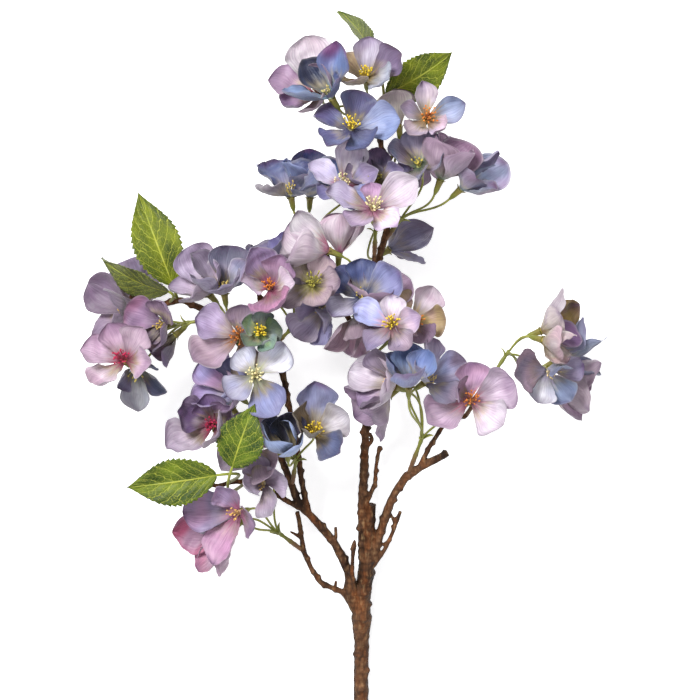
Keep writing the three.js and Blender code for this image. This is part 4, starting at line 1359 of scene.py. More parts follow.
@dataclass
class Leaf:
    """A toothed leaf on its own stalk, quilted between its veins."""

    name: str
    foot: Vec3
    base: Vec3
    tip: Vec3
    up: Vec3
    width: float
    arch: float
    rows: int = 120
    columns: int = 17
    stalk_steps: int = 16
    rib_steps: int = 24
    teeth: int = 17
    tooth: float = 0.085
    fold: float = 0.2
    fresh: int = 0x808A12
    deep: int = 0x3A4A0A
    stalk: int = 0x6E6A2E
    midrib: int = 0x9CA53C
    quilting: float = 0.42
    droop: float = 2.2
    half_thickness: float = 0.28

    def build(self, finishes: Finishes) -> bpy.types.Object:
        """Builds and seats the leaf.

        Args:
            finishes: the branch's materials.

        Returns:
            The new object.
        """
        patches = Patchwork()
        base, tip, foot = np.array(self.base), np.array(self.tip), np.array(self.foot)
        length = np.linalg.norm(tip - base)
        ahead = unit(tip - base)
        over = np.array(self.up)
        over = unit(over - ahead * over.dot(ahead))
        across = np.cross(over, ahead)
        self.blade(patches, base, length, (ahead, over, across))
        bend = base - ahead * np.linalg.norm(foot - base) * 0.5
        steps = self.stalk_steps + self.rib_steps
        shares = np.linspace(0, 1, self.stalk_steps)[:, None]
        path = foot * (1 - shares) ** 2 + bend * 2 * shares * (1 - shares) + base * shares**2
        rib = np.linspace(0.02, 0.9, self.rib_steps)
        along = base + np.outer(length * rib, ahead) + np.outer(self.arch * 4 * rib * (1 - rib) - 0.25, over)
        radii = [np.linspace(1.25, 0.95, self.stalk_steps), np.linspace(0.62, 0.16, self.rib_steps)]
        tints = mixed(paint(self.stalk), paint(self.midrib), ease(0.0, 0.6, np.linspace(0, 1, steps)))
        patches.tube(np.concatenate([path, along]), np.concatenate(radii), 10, tints, 1)
        piece = patches.build("toothed_leaf_" + self.name, [finishes.leaf, finishes.green])
        seat(piece, "leaf_" + self.name, "leaf")
        return piece

    def blade(
        self, patches: Patchwork, base: np.ndarray, length: float, ways: tuple[np.ndarray, ...]
    ) -> None:
        """Adds the leaf's blade.

        Args:
            patches: where it goes.
            base: where the blade starts.
            length: from there to its tip.
            ways: ahead, up from the blade, and across it.
        """
        ahead, over, across = ways
        seed = sum(map(ord, self.name))
        u, v = grid(0.004, 0.998, self.rows, self.columns)
        half = self.width / 2 * 1.03 * np.sin(math.pi * u**0.82) ** (0.72 + 0.5 * u)
        teeth = 1 - self.tooth * (1.6 - u) * (self.teeth * u % 1)
        edge = np.abs(v)
        half = np.maximum(half * (1 - (1 - teeth) * edge**6), 0.25)
        step = VEIN_PAIRS * u - VEIN_LEAN * edge
        quilt = self.quilting * np.abs(np.sin(math.pi * step))
        quilt = quilt * np.sin(math.pi * np.minimum(1, edge + 0.08)) ** 0.6
        waves = Ripple(seed, 4).at(u * 2.2, v * 0.8) * edge**2
        arch = self.arch * 4 * u * (1 - u)
        lift = arch + self.fold * half * edge + quilt + waves - self.droop * u**3
        place = base + ahead * (length * u)[..., None] + over * lift[..., None]
        place = place + across * (half * v)[..., None]
        thick = (self.half_thickness * (1 - 0.5 * edge**4))[..., None]
        shade = np.clip(0.42 + 0.3 * Ripple(seed + 3, 5).at(u * 2.5, v * 1.2) - 0.25 * edge, 0, 1)
        upper = mixed(paint(self.deep), paint(self.fresh), shade)
        patches.blade(place, over, thick, (upper, upper * 0.8 + 0.07), u, v)


# ---------------------------------------------------------------- wood


@dataclass(frozen=True)
class Knobs:
    """The scars on a limb: how far apart they are, how much they swell, and a knob's least and most rise."""

    apart: float
    ring: float
    height: Pair


@dataclass
class Wood:
    """The forked woody stem, knobbly where leaves fell, grown together where its limbs meet."""

    limbs: dict[str, tuple[tuple[float, float, float, float], ...]]
    sides: int = 18
    step: float = 1.1
    knot_swell: float = 0.14
    bark_share: float = 0.97
    softening: tuple[int, ...] = (1, 2, 3, 2, 1)
    thin_below: float = 2.8
    thin: Knobs = Knobs(7.5, 0.16, (0.9, 2.2))
    thick: Knobs = Knobs(10.0, 0.08, (0.5, 1.8))
    bare_below: float = 30.0
    jitter: float = 0.35
    ring_reach: float = 1.3
    knob_reach: float = 1.4
    bumps: float = 0.05
    lumps: float = 0.035
    voxel: float = 0.7
    cut_at: float = -262.5

    def tube(self, patches: Patchwork, number: int, knots: np.ndarray) -> None:
        """Adds one limb.

        Args:
            patches: where it goes.
            number: the limb's number, which seeds its bumps and scars.
            knots: its places and radii.
        """
        radii = knots[:, 3] * np.array([1 + self.knot_swell * (i % 2 and i > 1) for i in range(len(knots))])
        runs = np.concatenate([[0], np.cumsum(np.linalg.norm(np.diff(knots[:, :3], axis=0), axis=1))])
        length = runs[-1]
        along = np.linspace(0, length, max(6, int(length / self.step)))
        centres = np.column_stack([np.interp(along, runs, knots[:, k]) for k in range(3)])
        padded = np.pad(centres, ((2, 2), (0, 0)), mode="edge")
        kernel = np.array(self.softening) / sum(self.softening)
        soft = np.column_stack([np.convolve(padded[:, k], kernel, "valid") for k in range(3)])
        soft[0], soft[-1] = centres[0], centres[-1]
        width = np.interp(along, runs, radii) * self.bark_share
        turns = 2 * math.pi * np.arange(self.sides) / self.sides
        run, turn = np.meshgrid(along, turns, indexing="ij")
        bumps = Ripple(number + Seed.BUMPS, 7).at(run / 9, np.cos(turn) * 0.7, np.sin(turn) * 0.7)
        lumps = Ripple(number + Seed.LUMPS, 7).at(run / 3.4, np.cos(turn) * 1.5, np.sin(turn) * 1.5)
        rings = np.zeros_like(run)
        knobs = np.zeros_like(run)
        dice = np.random.default_rng(number + Seed.LIMB)
        kind = self.thin if radii.mean() < self.thin_below else self.thick
        start = dice.uniform(4, 8)
        for at in np.arange(start, length - 2 if length > self.bare_below else start, kind.apart):
            spot = at + dice.uniform(-self.jitter, self.jitter) * kind.apart
            side = dice.uniform(0, 2 * math.pi)
            rings += kind.ring * np.exp(-(((run - spot) / self.ring_reach) ** 2))
            knob = np.exp(-(((run - spot - 1) / self.knob_reach) ** 2))
            knob = knob * np.clip(np.cos(turn - side), 0, 1) ** 2.5
            knobs += dice.uniform(*kind.height) * min(1, spot / self.bare_below) * knob
        thick = width[:, None] * (1 + self.bumps * bumps + self.lumps * lumps + rings) + knobs
        patches.tube(soft, thick, self.sides, np.ones(3))

    def build(self, finishes: Finishes) -> bpy.types.Object:
        """Builds and seats the wood. Growing the limbs together drops their charts and colours.

        Args:
            finishes: the branch's materials.

        Returns:
            The new object.
        """
        patches = Patchwork()
        for number, knots in enumerate(self.limbs.values()):
            self.tube(patches, number, np.array(knots))
        piece = patches.build("knobbly_wood", [finishes.bark])
        remesh = piece.modifiers.new("grown_together", "REMESH")
        remesh.mode = "VOXEL"
        remesh.voxel_size = self.voxel * MM
        softened = piece.modifiers.new("softened", "SMOOTH")
        softened.factor = 0.5
        softened.iterations = 1
        shape = bpy.data.meshes.new_from_object(piece.evaluated_get(bpy.context.evaluated_depsgraph_get()))
        piece.modifiers.clear()
        places = read_places(shape)
        places[:, 2] = np.maximum(places[:, 2], 0)
        places[:, 1] = np.maximum(places[:, 1], self.cut_at * MM)
        shape.vertices.foreach_set("co", places.ravel())
        shape.materials.clear()
        shape.materials.append(finishes.bark)
        shape.shade_smooth()
        piece.data = shape
        piece.data.name = piece.name
        seat(piece, "wood", "wood")
        return piece


# ---------------------------------------------------------------- the table, the light and the camera


@dataclass(frozen=True)
class Lamp:
    """A square soft lamp, with its place in metres, its power in watts and the length of its side."""

    name: str
    place: Vec3
    power: float
    size: float
    lit: Vec3 = (0.0, 0.0, 0.05)

    def hang(self) -> None:
        """Hangs it where it looks at the middle of the branch."""
        data = bpy.data.lights.new(self.name, "AREA")
        data.energy = self.power
        data.shape = "SQUARE"
        data.size = self.size
        lamp = bpy.data.objects.new(self.name, data)
        lamp.location = self.place
        x, y, z = np.array(self.lit) - np.array(self.place)
        lamp.rotation_euler = (math.atan2(math.hypot(x, y), -z), 0, math.atan2(y, x) - math.pi / 2)
        bpy.context.scene.collection.objects.link(lamp)


@dataclass(frozen=True)
class Stage:
    """The plain pale table, soft light from the left, and the camera straight above, all in metres."""

    lamps: tuple[Lamp, ...] = (
        Lamp("window", (-0.65, 0.8, 1.7), 47.0, 0.6),
        Lamp("card", (0.9, -0.6, 1.5), 4.0, 1.2),
    )
    sky: float = 0.6
    sky_tint: tuple[float, ...] = (0.97, 0.98, 1.0, 1.0)
    table_reach: float = 4.0
    table_level: float = -0.0002
    height: float = 1.2
    seen_width: float = 0.5299
    aim: Pair = (0.0054, 0.0175)
    sensor: float = 36.0

    def lay_table(self) -> None:
        """Lays the table, just below the branch."""
        mesh = bpy.data.meshes.new("table_top")
        sides = ((-1, -1), (1, -1), (1, 1), (-1, 1))
        corners = [(x * self.table_reach, y * self.table_reach, self.table_level) for x, y in sides]
        mesh.from_pydata(corners, [], [(0, 1, 2, 3)])
        mesh.materials.append(PaleTable().make())
        top = bpy.data.objects.new("table_top", mesh)
        bpy.context.scene.collection.objects.link(top)

    def light_sky(self) -> None:
        """Lights the whole scene evenly."""
        world = bpy.data.worlds.new("soft_sky")
        world.use_nodes = True
        background = world.node_tree.nodes["Background"]
        background.inputs["Color"].default_value = self.sky_tint
        background.inputs["Strength"].default_value = self.sky
        bpy.context.scene.world = world
        bpy.context.scene.view_settings.view_transform = "Standard"

    def place_camera(self) -> None:
        """Hangs the camera straight above, so that it sees just the given width of the table."""
        data = bpy.data.cameras.new("above")
        data.sensor_fit = "HORIZONTAL"
        data.sensor_width = self.sensor
        data.lens = self.sensor * self.height / self.seen_width
        camera = bpy.data.objects.new("above", data)
        camera.location = (*self.aim, self.height)
        bpy.context.scene.collection.objects.link(camera)
        bpy.context.scene.camera = camera

    def build(self) -> None:
        """Sets the table, the lamps, the sky and the camera."""
        self.lay_table()
        for lamp in self.lamps:
            lamp.hang()
        self.light_sky()
        self.place_camera()


# ---------------------------------------------------------------- places

# Each limb is a row of (x, y, z, radius), from its root, which is sunk in the limb that bears it, to its tip.
LIMBS = {
    "trunk": (
        (8.3, -262.5, 5.2, 5.7), (8.3, -231.2, 5.2, 5.7), (8.7, -200.8, 6.5, 5.7), (8.6, -185.4, 8.5, 6.9),
        (9, -169.9, 12, 6.2), (11.9, -148, 18, 5.6), (14.1, -123.3, 25, 4.4), (15.5, -96, 32, 3.3),
    ),
    "leader": (
        (10.4, -152.7, 17, 3.4), (9.3, -123.5, 24, 3.4), (8.8, -96.1, 31, 3.2), (10.3, -74.9, 37, 3),
        (11.3, -40.1, 45, 2.8), (12.4, -18.8, 48, 2.7), (11.6, 21.1, 52, 2.6), (13.7, 53.6, 54, 2.5),
        (20.2, 81.1, 55, 2.4), (26.7, 104.1, 56, 2.2), (26, 136.6, 56, 2), (22.4, 163.9, 57, 1.8),
        (21.6, 183.2, 58, 1.6),
    ),
    "middle_twig": (
        (12, 50, 54, 2.0), (16, 68, 60, 1.8), (17.5, 86, 66, 1.7),
    ),
    "upper_left_twig": (
        (11, 20, 53, 2.2), (-1, 40, 52, 2.0), (-11, 62, 51, 1.9), (-18, 92, 52, 1.7),
    ),
    "left_limb": (
        (8.3, -183.9, 9, 4), (1.5, -172.7, 13, 3.6), (-1.1, -147.8, 20, 3.3), (-5.9, -136.1, 24, 3.1),
        (-11.4, -125.2, 28, 3), (-19.9, -114.4, 32, 2.9), (-28.6, -104.4, 36, 2.8), (-37.3, -95.9, 40, 2.7),
        (-46.7, -70, 44, 2.5), (-53.2, -54.7, 44, 2.4), (-64.2, -19, 44, 2.3), (-76.4, 17.5, 46, 2.3),
        (-91.2, 36.3, 52, 2.3), (-104.6, 46.3, 57, 2.2), (-120.8, 53.5, 60, 2.2), (-129.6, 52, 59, 2.1),
        (-138.4, 48.5, 57, 2.1), (-147, 52.8, 58, 2.2), (-158.5, 57.1, 58, 2.5),
    ),
    "inner_limb": (
        (-30.1, -102.8, 37, 2.4), (-33, -90.2, 39, 2.2), (-35.8, -76, 42, 2.1), (-37.2, -63.4, 44, 2.1),
        (-42.2, -33.5, 46, 2), (-47.3, -8, 47, 1.9), (-49.4, 10.2, 48, 1.8),
    ),
    "inner_twig": (
        (-47.3, -8, 47, 1.8), (-56, 19.7, 47, 1.7), (-64, 44.4, 48, 1.6), (-66.7, 61, 50, 1.5),
    ),
    "low_limb": (
        (5.3, -179.3, 9.5, 2.6), (-5.2, -163.6, 14, 2.2), (-11.2, -161, 16, 2), (-21.6, -156.2, 18, 1.9),
        (-29, -144.5, 22, 1.8), (-34.1, -132.1, 26, 1.7), (-36.2, -118.4, 29, 1.7),
        (-37.6, -107.9, 31, 1.6), (-39, -101.8, 33, 1.5),
    ),
    "lower_left_twig": (
        (-37.3, -98.1, 40, 2), (-53.5, -88.8, 38, 1.8), (-72.6, -80.7, 38, 1.7), (-84.3, -78.5, 38, 1.7),
        (-96.3, -82.2, 38, 1.6), (-106.9, -80.6, 39, 1.4),
    ),
    "right_limb": (
        (14.2, -143.4, 19, 3.6), (17.8, -135.6, 22, 3.4), (21.2, -121.6, 27, 3.2), (26.5, -104.2, 31, 3),
        (32.3, -88.3, 35, 2.9), (41.7, -74.8, 39, 2.9), (51.9, -68, 42, 2.8), (61.3, -62.8, 43, 2.6),
        (71.5, -57.6, 44, 2.4),
    ),
    "right_twig": (
        (50.4, -68.7, 42, 2), (58.2, -52.4, 46, 1.7), (67.5, -37.6, 50, 1.6), (80.2, -30.9, 55, 1.5),
        (84.3, -29.3, 58, 1.6),
    ),
    "right_spur": (
        (14.9, -146.3, 20, 1.9), (25.2, -131.6, 24, 1.6), (31.1, -118.7, 27, 1.5), (37.3, -101.3, 30, 1.3),
    ),
    "right_spur_bud": (
        (33.3, -112.7, 27.5, 1.2), (31.8, -107.3, 29, 1.2), (29.5, -102, 31, 0.9),
    ),
    "stem_spur": (
        (11.8, -96, 32, 1.9), (18.3, -80.7, 38, 1.6), (19, -68, 42, 1.4), (21.5, -52.4, 46, 1.3),
    ),
    "stem_spur_knob": (
        (11.7, -54, 43, 1.4), (16.7, -48, 46, 1.5), (14.5, -42.9, 47, 1.1),
    ),
    "bud_twig": (
        (5.2, -174.2, 13, 1.9), (1.5, -147.1, 25, 1.5), (2.2, -132.5, 29, 1.4), (2.9, -127, 31, 1.9),
        (3.5, -122.5, 32, 0.9),
    ),
    "limb_stub": (
        (-11.8, -127.4, 28, 1.7), (-10.3, -119.5, 32, 1.4), (-10.6, -112.7, 34, 1.2),
    ),
    "low_limb_bud": (
        (-34.7, -123, 28, 1.3), (-39.2, -119.2, 29, 1.3), (-44.3, -116.6, 29, 0.8),
    ),
    "low_limb_knob": (
        (-11.2, -161.8, 16, 1.4), (-10.4, -154.6, 19, 1.1),
    ),
    "strut": (
        (-4.5, -163.6, 14, 1.2), (-1.5, -147.8, 20, 1.3),
    ),
}

# Each umbel has its seat on the wood and the place where its flower stalks part.
UMBELS = (
    Umbel("top", (22, 178, 57.7), (21, 191, 66)),
    Umbel("crown", (24, 150, 56.5), (33, 160, 58)),
    Umbel("upper_left", (-18, 90, 52), (-22, 106, 58)),
    Umbel("middle", (17.5, 85, 66), (18, 102, 74)),
    Umbel("upper_right", (24.5, 96, 55.7), (36, 111, 60)),
    Umbel("left_heart", (-56, 20, 46), (-43, 32, 58)),
    Umbel("centre", (11, 12, 53), (13, 11, 66)),
    Umbel("low_right", (42.5, -74, 39.5), (52, -46, 56)),
    Umbel("far_right", (83.6, -29.7, 57.5), (112, 13.9, 62)),
    Umbel("far_left", (-96, 40, 54), (-119, 37, 56)),
    Umbel("left", (-84, 27, 49.2), (-82, 24, 60)),
    Umbel("lower_left", (-61, -29, 44), (-64, -24, 60)),
    Umbel("fork", (-42.4, -81.8, 42), (-38.9, -61.8, 57)),
    Umbel("bottom_left", (-34.4, -131.3, 26.3), (-52.1, -116.9, 36)),
)

# Each leaf has its foot on the wood, its blade's ends, the way its upper face looks, its width and its arch.
LEAVES = (
    Leaf("tip", (22, 180, 57.8), (14, 232, 56), (-8, 262, 60), (0.9, 0.2, 0.5), 30, 3,
         fresh=0x737C44, deep=0x48542C),
    Leaf("upper_right", (24, 162, 57), (26, 203, 52), (75, 233, 52), (0.1, -0.5, 0.85), 34, 5),
    Leaf("left_upright", (-124, 53, 59.5), (-127, 64, 64), (-152, 131, 66), (0.1, -0.1, 1), 35, 4),
    Leaf("left_low", (-131, 51.5, 58.6), (-129, 59, 72), (-177, 82, 76), (-0.2, -0.8, 0.6), 30, 4,
         fresh=0x6E763C, deep=0x3E4824),
    Leaf("lower_left", (-90, -80, 38), (-93, -70, 92), (-157, -79, 90), (0, -0.1, 1), 34, 4,
         fresh=0x72821C, deep=0x32460E),
    Leaf("lower_upright", (-77, -80, 38), (-82, -64, 96), (-66, -20, 108), (-0.1, -0.1, 1), 34, 4,
         fresh=0x6A7E1E, deep=0x2C420E),
)

# The blooms of each umbel, in the order in which they are numbered.
BLOOMS = (
    Bloom("top_blush", "top", (-23, 198, 78), (-0.35, 0.35, 0.87), (74, 44),
        ((-60, 28), (10, 40), (78, 34), (132, 26), (200, 24)), "C24A74 EAD5DF DDBFCE C9A7BA",
        "CDB0C4 B294B0, F8EEF4 EFDCE8, B79BB4 9A7FA2, A58BA8 8C7396", fused="top_blue", anthers=Anthers.PALE),
    Bloom("top_blue", "top", (-13, 193, 99), (-0.45, 0.6, 0.55), (58, 34),
        ((-95, 24), (-14, 37), (52, 33), (130, 34)), "7FA3B8 8397C2 86608F 46587F",
        "525F8C 54548A, 6E82B4 7A4A7E, 1E2746 262C52, 8FA5CC 8895C0", slim=0.78),
    Bloom("top_cream", "top", (11.3, 208.6, 82), (-0.05, 0.55, 0.8), (66, 40),
        ((-135, 26), (-74, 30), (-4, 28), (72, 22), (150, 27)), "D9B85F CDBFC2 9D8AAE C7B08A",
        "CBD0E0 AEB8D4, A08CB0 6E4A80, CFC6D8 B7A6C6, BFA77C A08A74, C9B78E B7A088", tuft=1.0),
    Bloom("top_slate", "top", (0.7, 170.7, 96), (0.05, 0.5, 0.85), (78, 56),
        ((-155, 26), (-90, 33), (-16, 27), (66, 26), (138, 26)), "5E5C8C 7D7CA6 9A97C0 9FB0DC",
        "7078A6 626A9C, 8E9DC4 8494C0, 66648F 54527E, 5F5D8C 6E5A86, 6A6A98 5E5C88", tuft=1.0),
    Bloom("crown_bud", "crown", (35, 178, 64), (-0.1, 0.95, 0.2), (32, -5), ring(26, 26, 26, 26),
        "B9A27E D9CBBE B49AA6 E7DDD2", "E4DACB C4AEB2, C8B49A A58E92, DCCFC0 B89FA8, EDE4D8 CBB8B4",
        crinkle=0.5),
    Bloom("crown_pearl", "crown", (54, 181, 76), (0.15, 0.2, 0.95), (82, 66),
        ((-142, 24), (-72, 28), (8, 25), (72, 20), (138, 24)), "DDB25E D3C3D2 BFABC4 A3AAC6",
        "D8C0D0 C9A9BF, 8794B0 7A86A6, E0CFDA C9B4CC, , DCC7D2 BFA4BC", anthers=Anthers.ORANGE, slim=0.82,
        tuft=1.0),
    Bloom("crown_blush", "crown", (49, 164, 46), (0.3, -0.5, 0.4), (70, 50), ring(28, 28, 28, 28),
        "D49AB4 DFCBDA C3B3D0 CBB9CE"),
    Bloom("crown_blue", "crown", (29.2, 138.5, 66.4), (0.3, 0.6, 0.65), (66, 40),
        ((-164, 28), (-86, 30), (-8, 30), (70, 26)), "6E6A98 8784B0 6D4E72 A79ABF", fused="upper_blush"),
    Bloom("upper_slate", "upper_left", (-42, 127, 72), (-0.15, 0.85, 0.45), (70, 46),
        ((-110, 30), (-30, 30), (48, 34), (140, 26)), "50597F 6A76A4 8F9CC8 C9BDCB",
        "5A668F 4A5680, 66709C 56608E, 5C6690 707AA6, ADA49E 938A96", crinkle=1.9),
    Bloom("upper_navy", "upper_left", (-29, 128.5, 50), (0.05, 0.85, 0.4), (52, 24), ring(36, 32, 30, 34),
        "3A4A72 56689C 2E3352 8298CC", "1C2340 2A3F70, 4A588A 7688BE", fused="upper_slate"),
    Bloom("upper_blush", "upper_left", (-4.2, 131.6, 90), (-0.1, 0.4, 0.91), (76, 54),
        ((-135, 24), (-76, 26), (-14, 33), (62, 28), (132, 22)), "B4476E E2D0E0 CDB6D2 A9A9D6",
        "8E93C4 7E82B4, B7A6C8 9A86AE, E8DEEA DACADC, D6CCE2 C0B2D4, 9D96C6 8A86B8", anthers=Anthers.PALE,
        crinkle=1.4, slim=0.85, tuft=1.0),
    Bloom("middle_mauve", "middle", (17, 135, 84), (0, 0.5, 0.86), (66, 36),
        ((-96, 25), (-2, 24), (100, 25), (176, 27)), "A59A45 A993B4 D8CDE0 8D92BE",
        "A99CC0 6E5A88, A68EB2 5E466C, CDBEDA A994BE, 8D86B4 7A76A6", fused="upper_blush",
        anthers=Anthers.OLIVE, slim=0.85, tuft=1.0),
    Bloom("middle_pink", "middle", (15.8, 114, 108), (0.05, 0.45, 0.89), (76, 58),
        ((-144, 25), (-60, 35), (6, 17), (80, 34), (142, 25)), "C27A98 DCCBDD D3BFD6 C3A9C9",
        "E2D4E6 D3BCD8, E4D3E2 EDE0EC, BF9ABC A97FA8, CBBDDE D9CFE8, D2BDD6 B99FC2", anthers=Anthers.PALE,
        slim=0.88, tuft=1.0),
    Bloom("middle_violet", "middle", (28.7, 91, 34), (0.8, 0.45, -0.3), (50, 34),
        ((-10, 26), (84, 38), (170, 28), (260, 26)), "8E8AB0 7C759E 5F4E74 6F6A95", "6E6690 54466C",
        slim=0.74),
    Bloom("right_dusty", "upper_right", (49, 147, 78), (-0.2, 0.5, 0.75), (60, 40), ring(26, 26, 26, 26),
        "7E9470 A79FB8 8891B0 B79FAC", fused="right_mauve"),
    Bloom("right_mauve", "upper_right", (64, 138, 78), (0.35, 0.88, 0.3), (44, 8), ring(33, 33, 32, 34),
        "6F8A55 B795B0 A57F9E C9AEC2", crinkle=1.3),
    Bloom("right_haze", "upper_right", (79.3, 132.5, 68), (0.7, 0.6, 0.4), (48, 26),
        ((-88, 39), (-26, 37), (44, 30), (112, 28), (188, 26)), "8FA8BC 9AA6C4 7F5E80 B3A6C2",
        "9AA9C4 8E6A8E, A9A6C6 8C7AA6, 8F9CC0 7F86AE", slim=0.85),
    Bloom("heart_rose", "left_heart", (-55.6, 60.6, 98), (-0.05, 0.3, 0.95), (56, 28),
        ((-168, 38), (-100, 26), (-34, 27), (26, 31), (94, 24)), "C76C8C DDC0D2 EADFE8 BDA0C0",
        "D79ABF CE86AE, EADCE8 E2CBDD, C9A5C4 B48CB4, B09AC0 947CA8, E6DAE6 D3BCD6", anthers=Anthers.ORANGE,
        slim=0.9, tuft=1.0),
    Bloom("heart_violet", "left_heart", (-47.3, 69, 65), (-0.35, 0.88, 0.15), (50, 30),
        ((-60, 30), (20, 37), (92, 38), (180, 28)), "4A4570 665F8E 4B3E60 7E7BA8",
        "3E3A60 322C50, 5C5682 4A4470", fused="heart_mauve"),
    Bloom("heart_mauve", "left_heart", (-37, 58, 76), (-0.1, 0.6, 0.75), (60, 35),
        ((-140, 30), (-44, 27), (40, 26), (140, 30)), "C8B98A B59BB8 9C82A6 D9C9DA"),
    Bloom("heart_dusty", "left_heart", (-27, 63, 94), (0.15, 0.4, 0.9), (68, 44),
        ((-166, 24), (-96, 21), (-20, 21), (48, 21), (126, 26)), "A8A04A B39CAE 8F7F96 C9AFB9",
        "B7A3A8 A08A98, BFAAB4 A995A8, B7A0A6 9C8896, A99A86 8F8280, C6B4BC A996A6", fused="heart_blush",
        anthers=Anthers.OLIVE, tuft=1.0),
    Bloom("heart_haze", "left_heart", (-17, 48, 68), (-0.35, -0.4, 0.8), (74, 58),
        ((-164, 28), (-94, 25), (-24, 28), (48, 25), (128, 29)), "A9A0C4 B9B0D0 D8C6D8 9FA6CC",
        "A9A6CC 8F8CBC, C9BFD8 B4A8CC, , , D3C6D8 BCACCA"),
    Bloom("heart_blush", "left_heart", (-15, 87, 92), (-0.85, 0.35, 0.35), (42, 18), ring(34, 34, 33, 34, 34),
        "DD6F9C E9DEE8 DCC0D2 DDCBDA",
        "FFFAFC F4E4EE, FBF0F6 EAD2E2, FFFAFC F0DCE8, F4E4EE DDBFD2, F8ECF4 E2C8DA", crinkle=0.5),
    Bloom("heart_bud", "left_heart", (-8, 86, 74), (0.05, 0.97, 0.2), (32, -5), ring(30, 30, 30, 30),
        "D8709E E9D5E2 D9A9C6 DCC8DC", "FBEAF4 EBC4DA, F4E0EC DDB0CC, FFF4FA E8C6DA, F4E0EC D9A9C6",
        crinkle=0.5),
    Bloom("centre_navy", "centre", (8.4, 54, 86), (-0.1, 0.4, 0.91), (76, 56),
        ((-146, 29), (-64, 32), (0, 26), (64, 28), (136, 29)), "4A5580 66739F 7F8CBC 8F97C6",
        "A58FAE 8F7A9E, 9AA0CE 8F8CC0, 414C78 3A4470, 3C4874 48507E, CFC9DE A9A0C0"),
    Bloom("centre_pink", "centre", (17.7, 50.1, 76), (0.25, 0.65, 0.6), (62, 40),
        ((-76, 29), (0, 26), (80, 26), (180, 25)), "C27FA0 D3B3C8 B593AE CDA5BE", fused="centre_navy"),
    Bloom("centre_blush", "centre", (29, 34.2, 98), (-0.1, 0.3, 0.95), (76, 58),
        ((-150, 25), (-80, 21), (-2, 20), (70, 29), (142, 26)), "D9A0A8 E3D3DF 9FA5CF B9B4D8",
        "C6AFC0 B096AE, CDB6C8 B39ABA, D9CBD8 E4DAE6, 989CC4 8A90B8, B9A9C4 A396BC", slim=0.85, tuft=1.0),
    Bloom("centre_cream", "centre", (44, 37.3, 80), (0.25, 0.2, 0.94), (76, 60),
        ((-156, 23), (-92, 22), (-30, 27), (42, 22), (126, 26)), "E0B040 DCCBB4 E5D3E0 C09FB4",
        "B79AB4 A488A8, A08A60 8C7658, E3D4DE D3BACC, B09A66 9C8460, C6A6B0 AE92A6", fused="centre_blush",
        anthers=Anthers.ORANGE, tuft=1.0),
    Bloom("centre_dusty", "centre", (4.4, 40.6, 76), (0, -0.9, 0.3), (52, 30), ring(30, 30, 30, 30),
        "9C8A6A B08F9C 9A7E92 C3A5B0", fused="centre_navy", slim=0.8),
    Bloom("low_blush", "low_right", (31, -8, 84), (-0.75, 0.3, 0.5), (60, 40),
        ((-2, 30), (80, 34), (150, 27), (220, 26), (290, 27)), "D3A0BE E3D2DF D5BBCF C9B6D0",
        "CDBBD2 B4A2C4, E2D4E2 EAE0EC, C3ACC6 AA92B4"),
    Bloom("low_azure", "low_right", (40.8, -7.4, 104), (0, 0.8, 0.6), (50, 16),
        ((-50, 28), (10, 30), (72, 27), (180, 32)), "6C86BC 93ACDF A9B9E4 4E5F93",
        "8296C4 7488BC, 92A6D2 8498CC, 3E4C7E 5A6CA4, 8A93C8 9A86B4", slim=0.88),
    Bloom("low_haze", "low_right", (53, -5, 85), (0.6, 0.45, 0.6), (68, 46),
        ((-162, 24), (-76, 33), (-6, 30), (70, 24)), "A79CB9 B2A6BE 9E8BA2 93A5D0", fused="low_azure"),
    Bloom("low_pink", "low_right", (84.5, -18.4, 84), (0.05, 0.25, 0.96), (78, 58),
        ((-134, 29), (-70, 33), (0, 26), (60, 22), (120, 38)), "CE7C94 DDC6D6 E3D6E0 C3A5BE",
        "D6C6D4 DED2DE, DCC8DA C4AAC6, C9A0BC B28AAE, BF98B4 A183A2, CDB4C8 C2A2BC", anthers=Anthers.ORANGE,
        tuft=1.0),
    Bloom("low_mauve", "low_right", (28, -15, 64), (-0.75, -0.5, 0.1), (50, 35), ring(31, 32, 32, 32),
        "A890A6 A88FA8 8F7896 B9A2B6", "A48CA4 8A7290, B09AB0 947C9A", fused="low_blush", slim=0.8),
    Bloom("far_cream", "far_right", (136.4, 31, 68), (0.9, 0.35, 0.25), (50, 28),
        ((-135, 30), (-68, 37), (4, 32), (74, 24), (150, 22)), "A8823A D3C6AE CDBED6 9C7FA4",
        "8C6A94 75558A, B79A52 6E5A3C, D6CAD2 B9A8B4, E6D6D2 D0BCC2, C9B28A A88F78", slim=0.85),
    Bloom("far_bud", "far_right", (136.4, 24.5, 80), (0.75, -0.2, 0.6), (32, 0), ring(24, 24, 24, 24),
        "B79A55 E0D2C8 DDB9C4 C9AE80", fused="far_cream"),
    Bloom("far_haze", "far_right", (148, 8, 43), (0.88, 0.45, 0.15), (46, 24),
        ((20, 38), (100, 42), (185, 34), (280, 38)), "7F8FB0 97A2C4 7C5E86 A79CBE",
        "8C92B4 767BA4, 9AA6C0 7C86A8, 8890B0 6A6C92, 7F8CA8 4A3A54", fused="far_mauve", slim=0.8),
    Bloom("far_lilac", "far_right", (140.6, 2.6, 74), (0.3, -0.25, 0.92), (76, 52),
        ((-144, 25), (-68, 24), (0, 23), (84, 38), (152, 24)), "C9BEDC CFCBE4 B4AECF 8F9CBE",
        "8390A8 7480A0, A79BB8 8E84A4, 8A90B4 5A6488, B294A6 967C92, F2F0F8 E0DCEC"),
    Bloom("far_mauve", "far_right", (147, -6, 34), (0.85, -0.25, 0.1), (46, 26),
        ((30, 40), (112, 40), (195, 36), (285, 36)), "B39AB0 B9A0BA A2849F CDB5C4",
        "B59CAE 96798E, BDA6B4 9E8698, A88EA4 86708A, B8A0B0 94788C", slim=0.8),
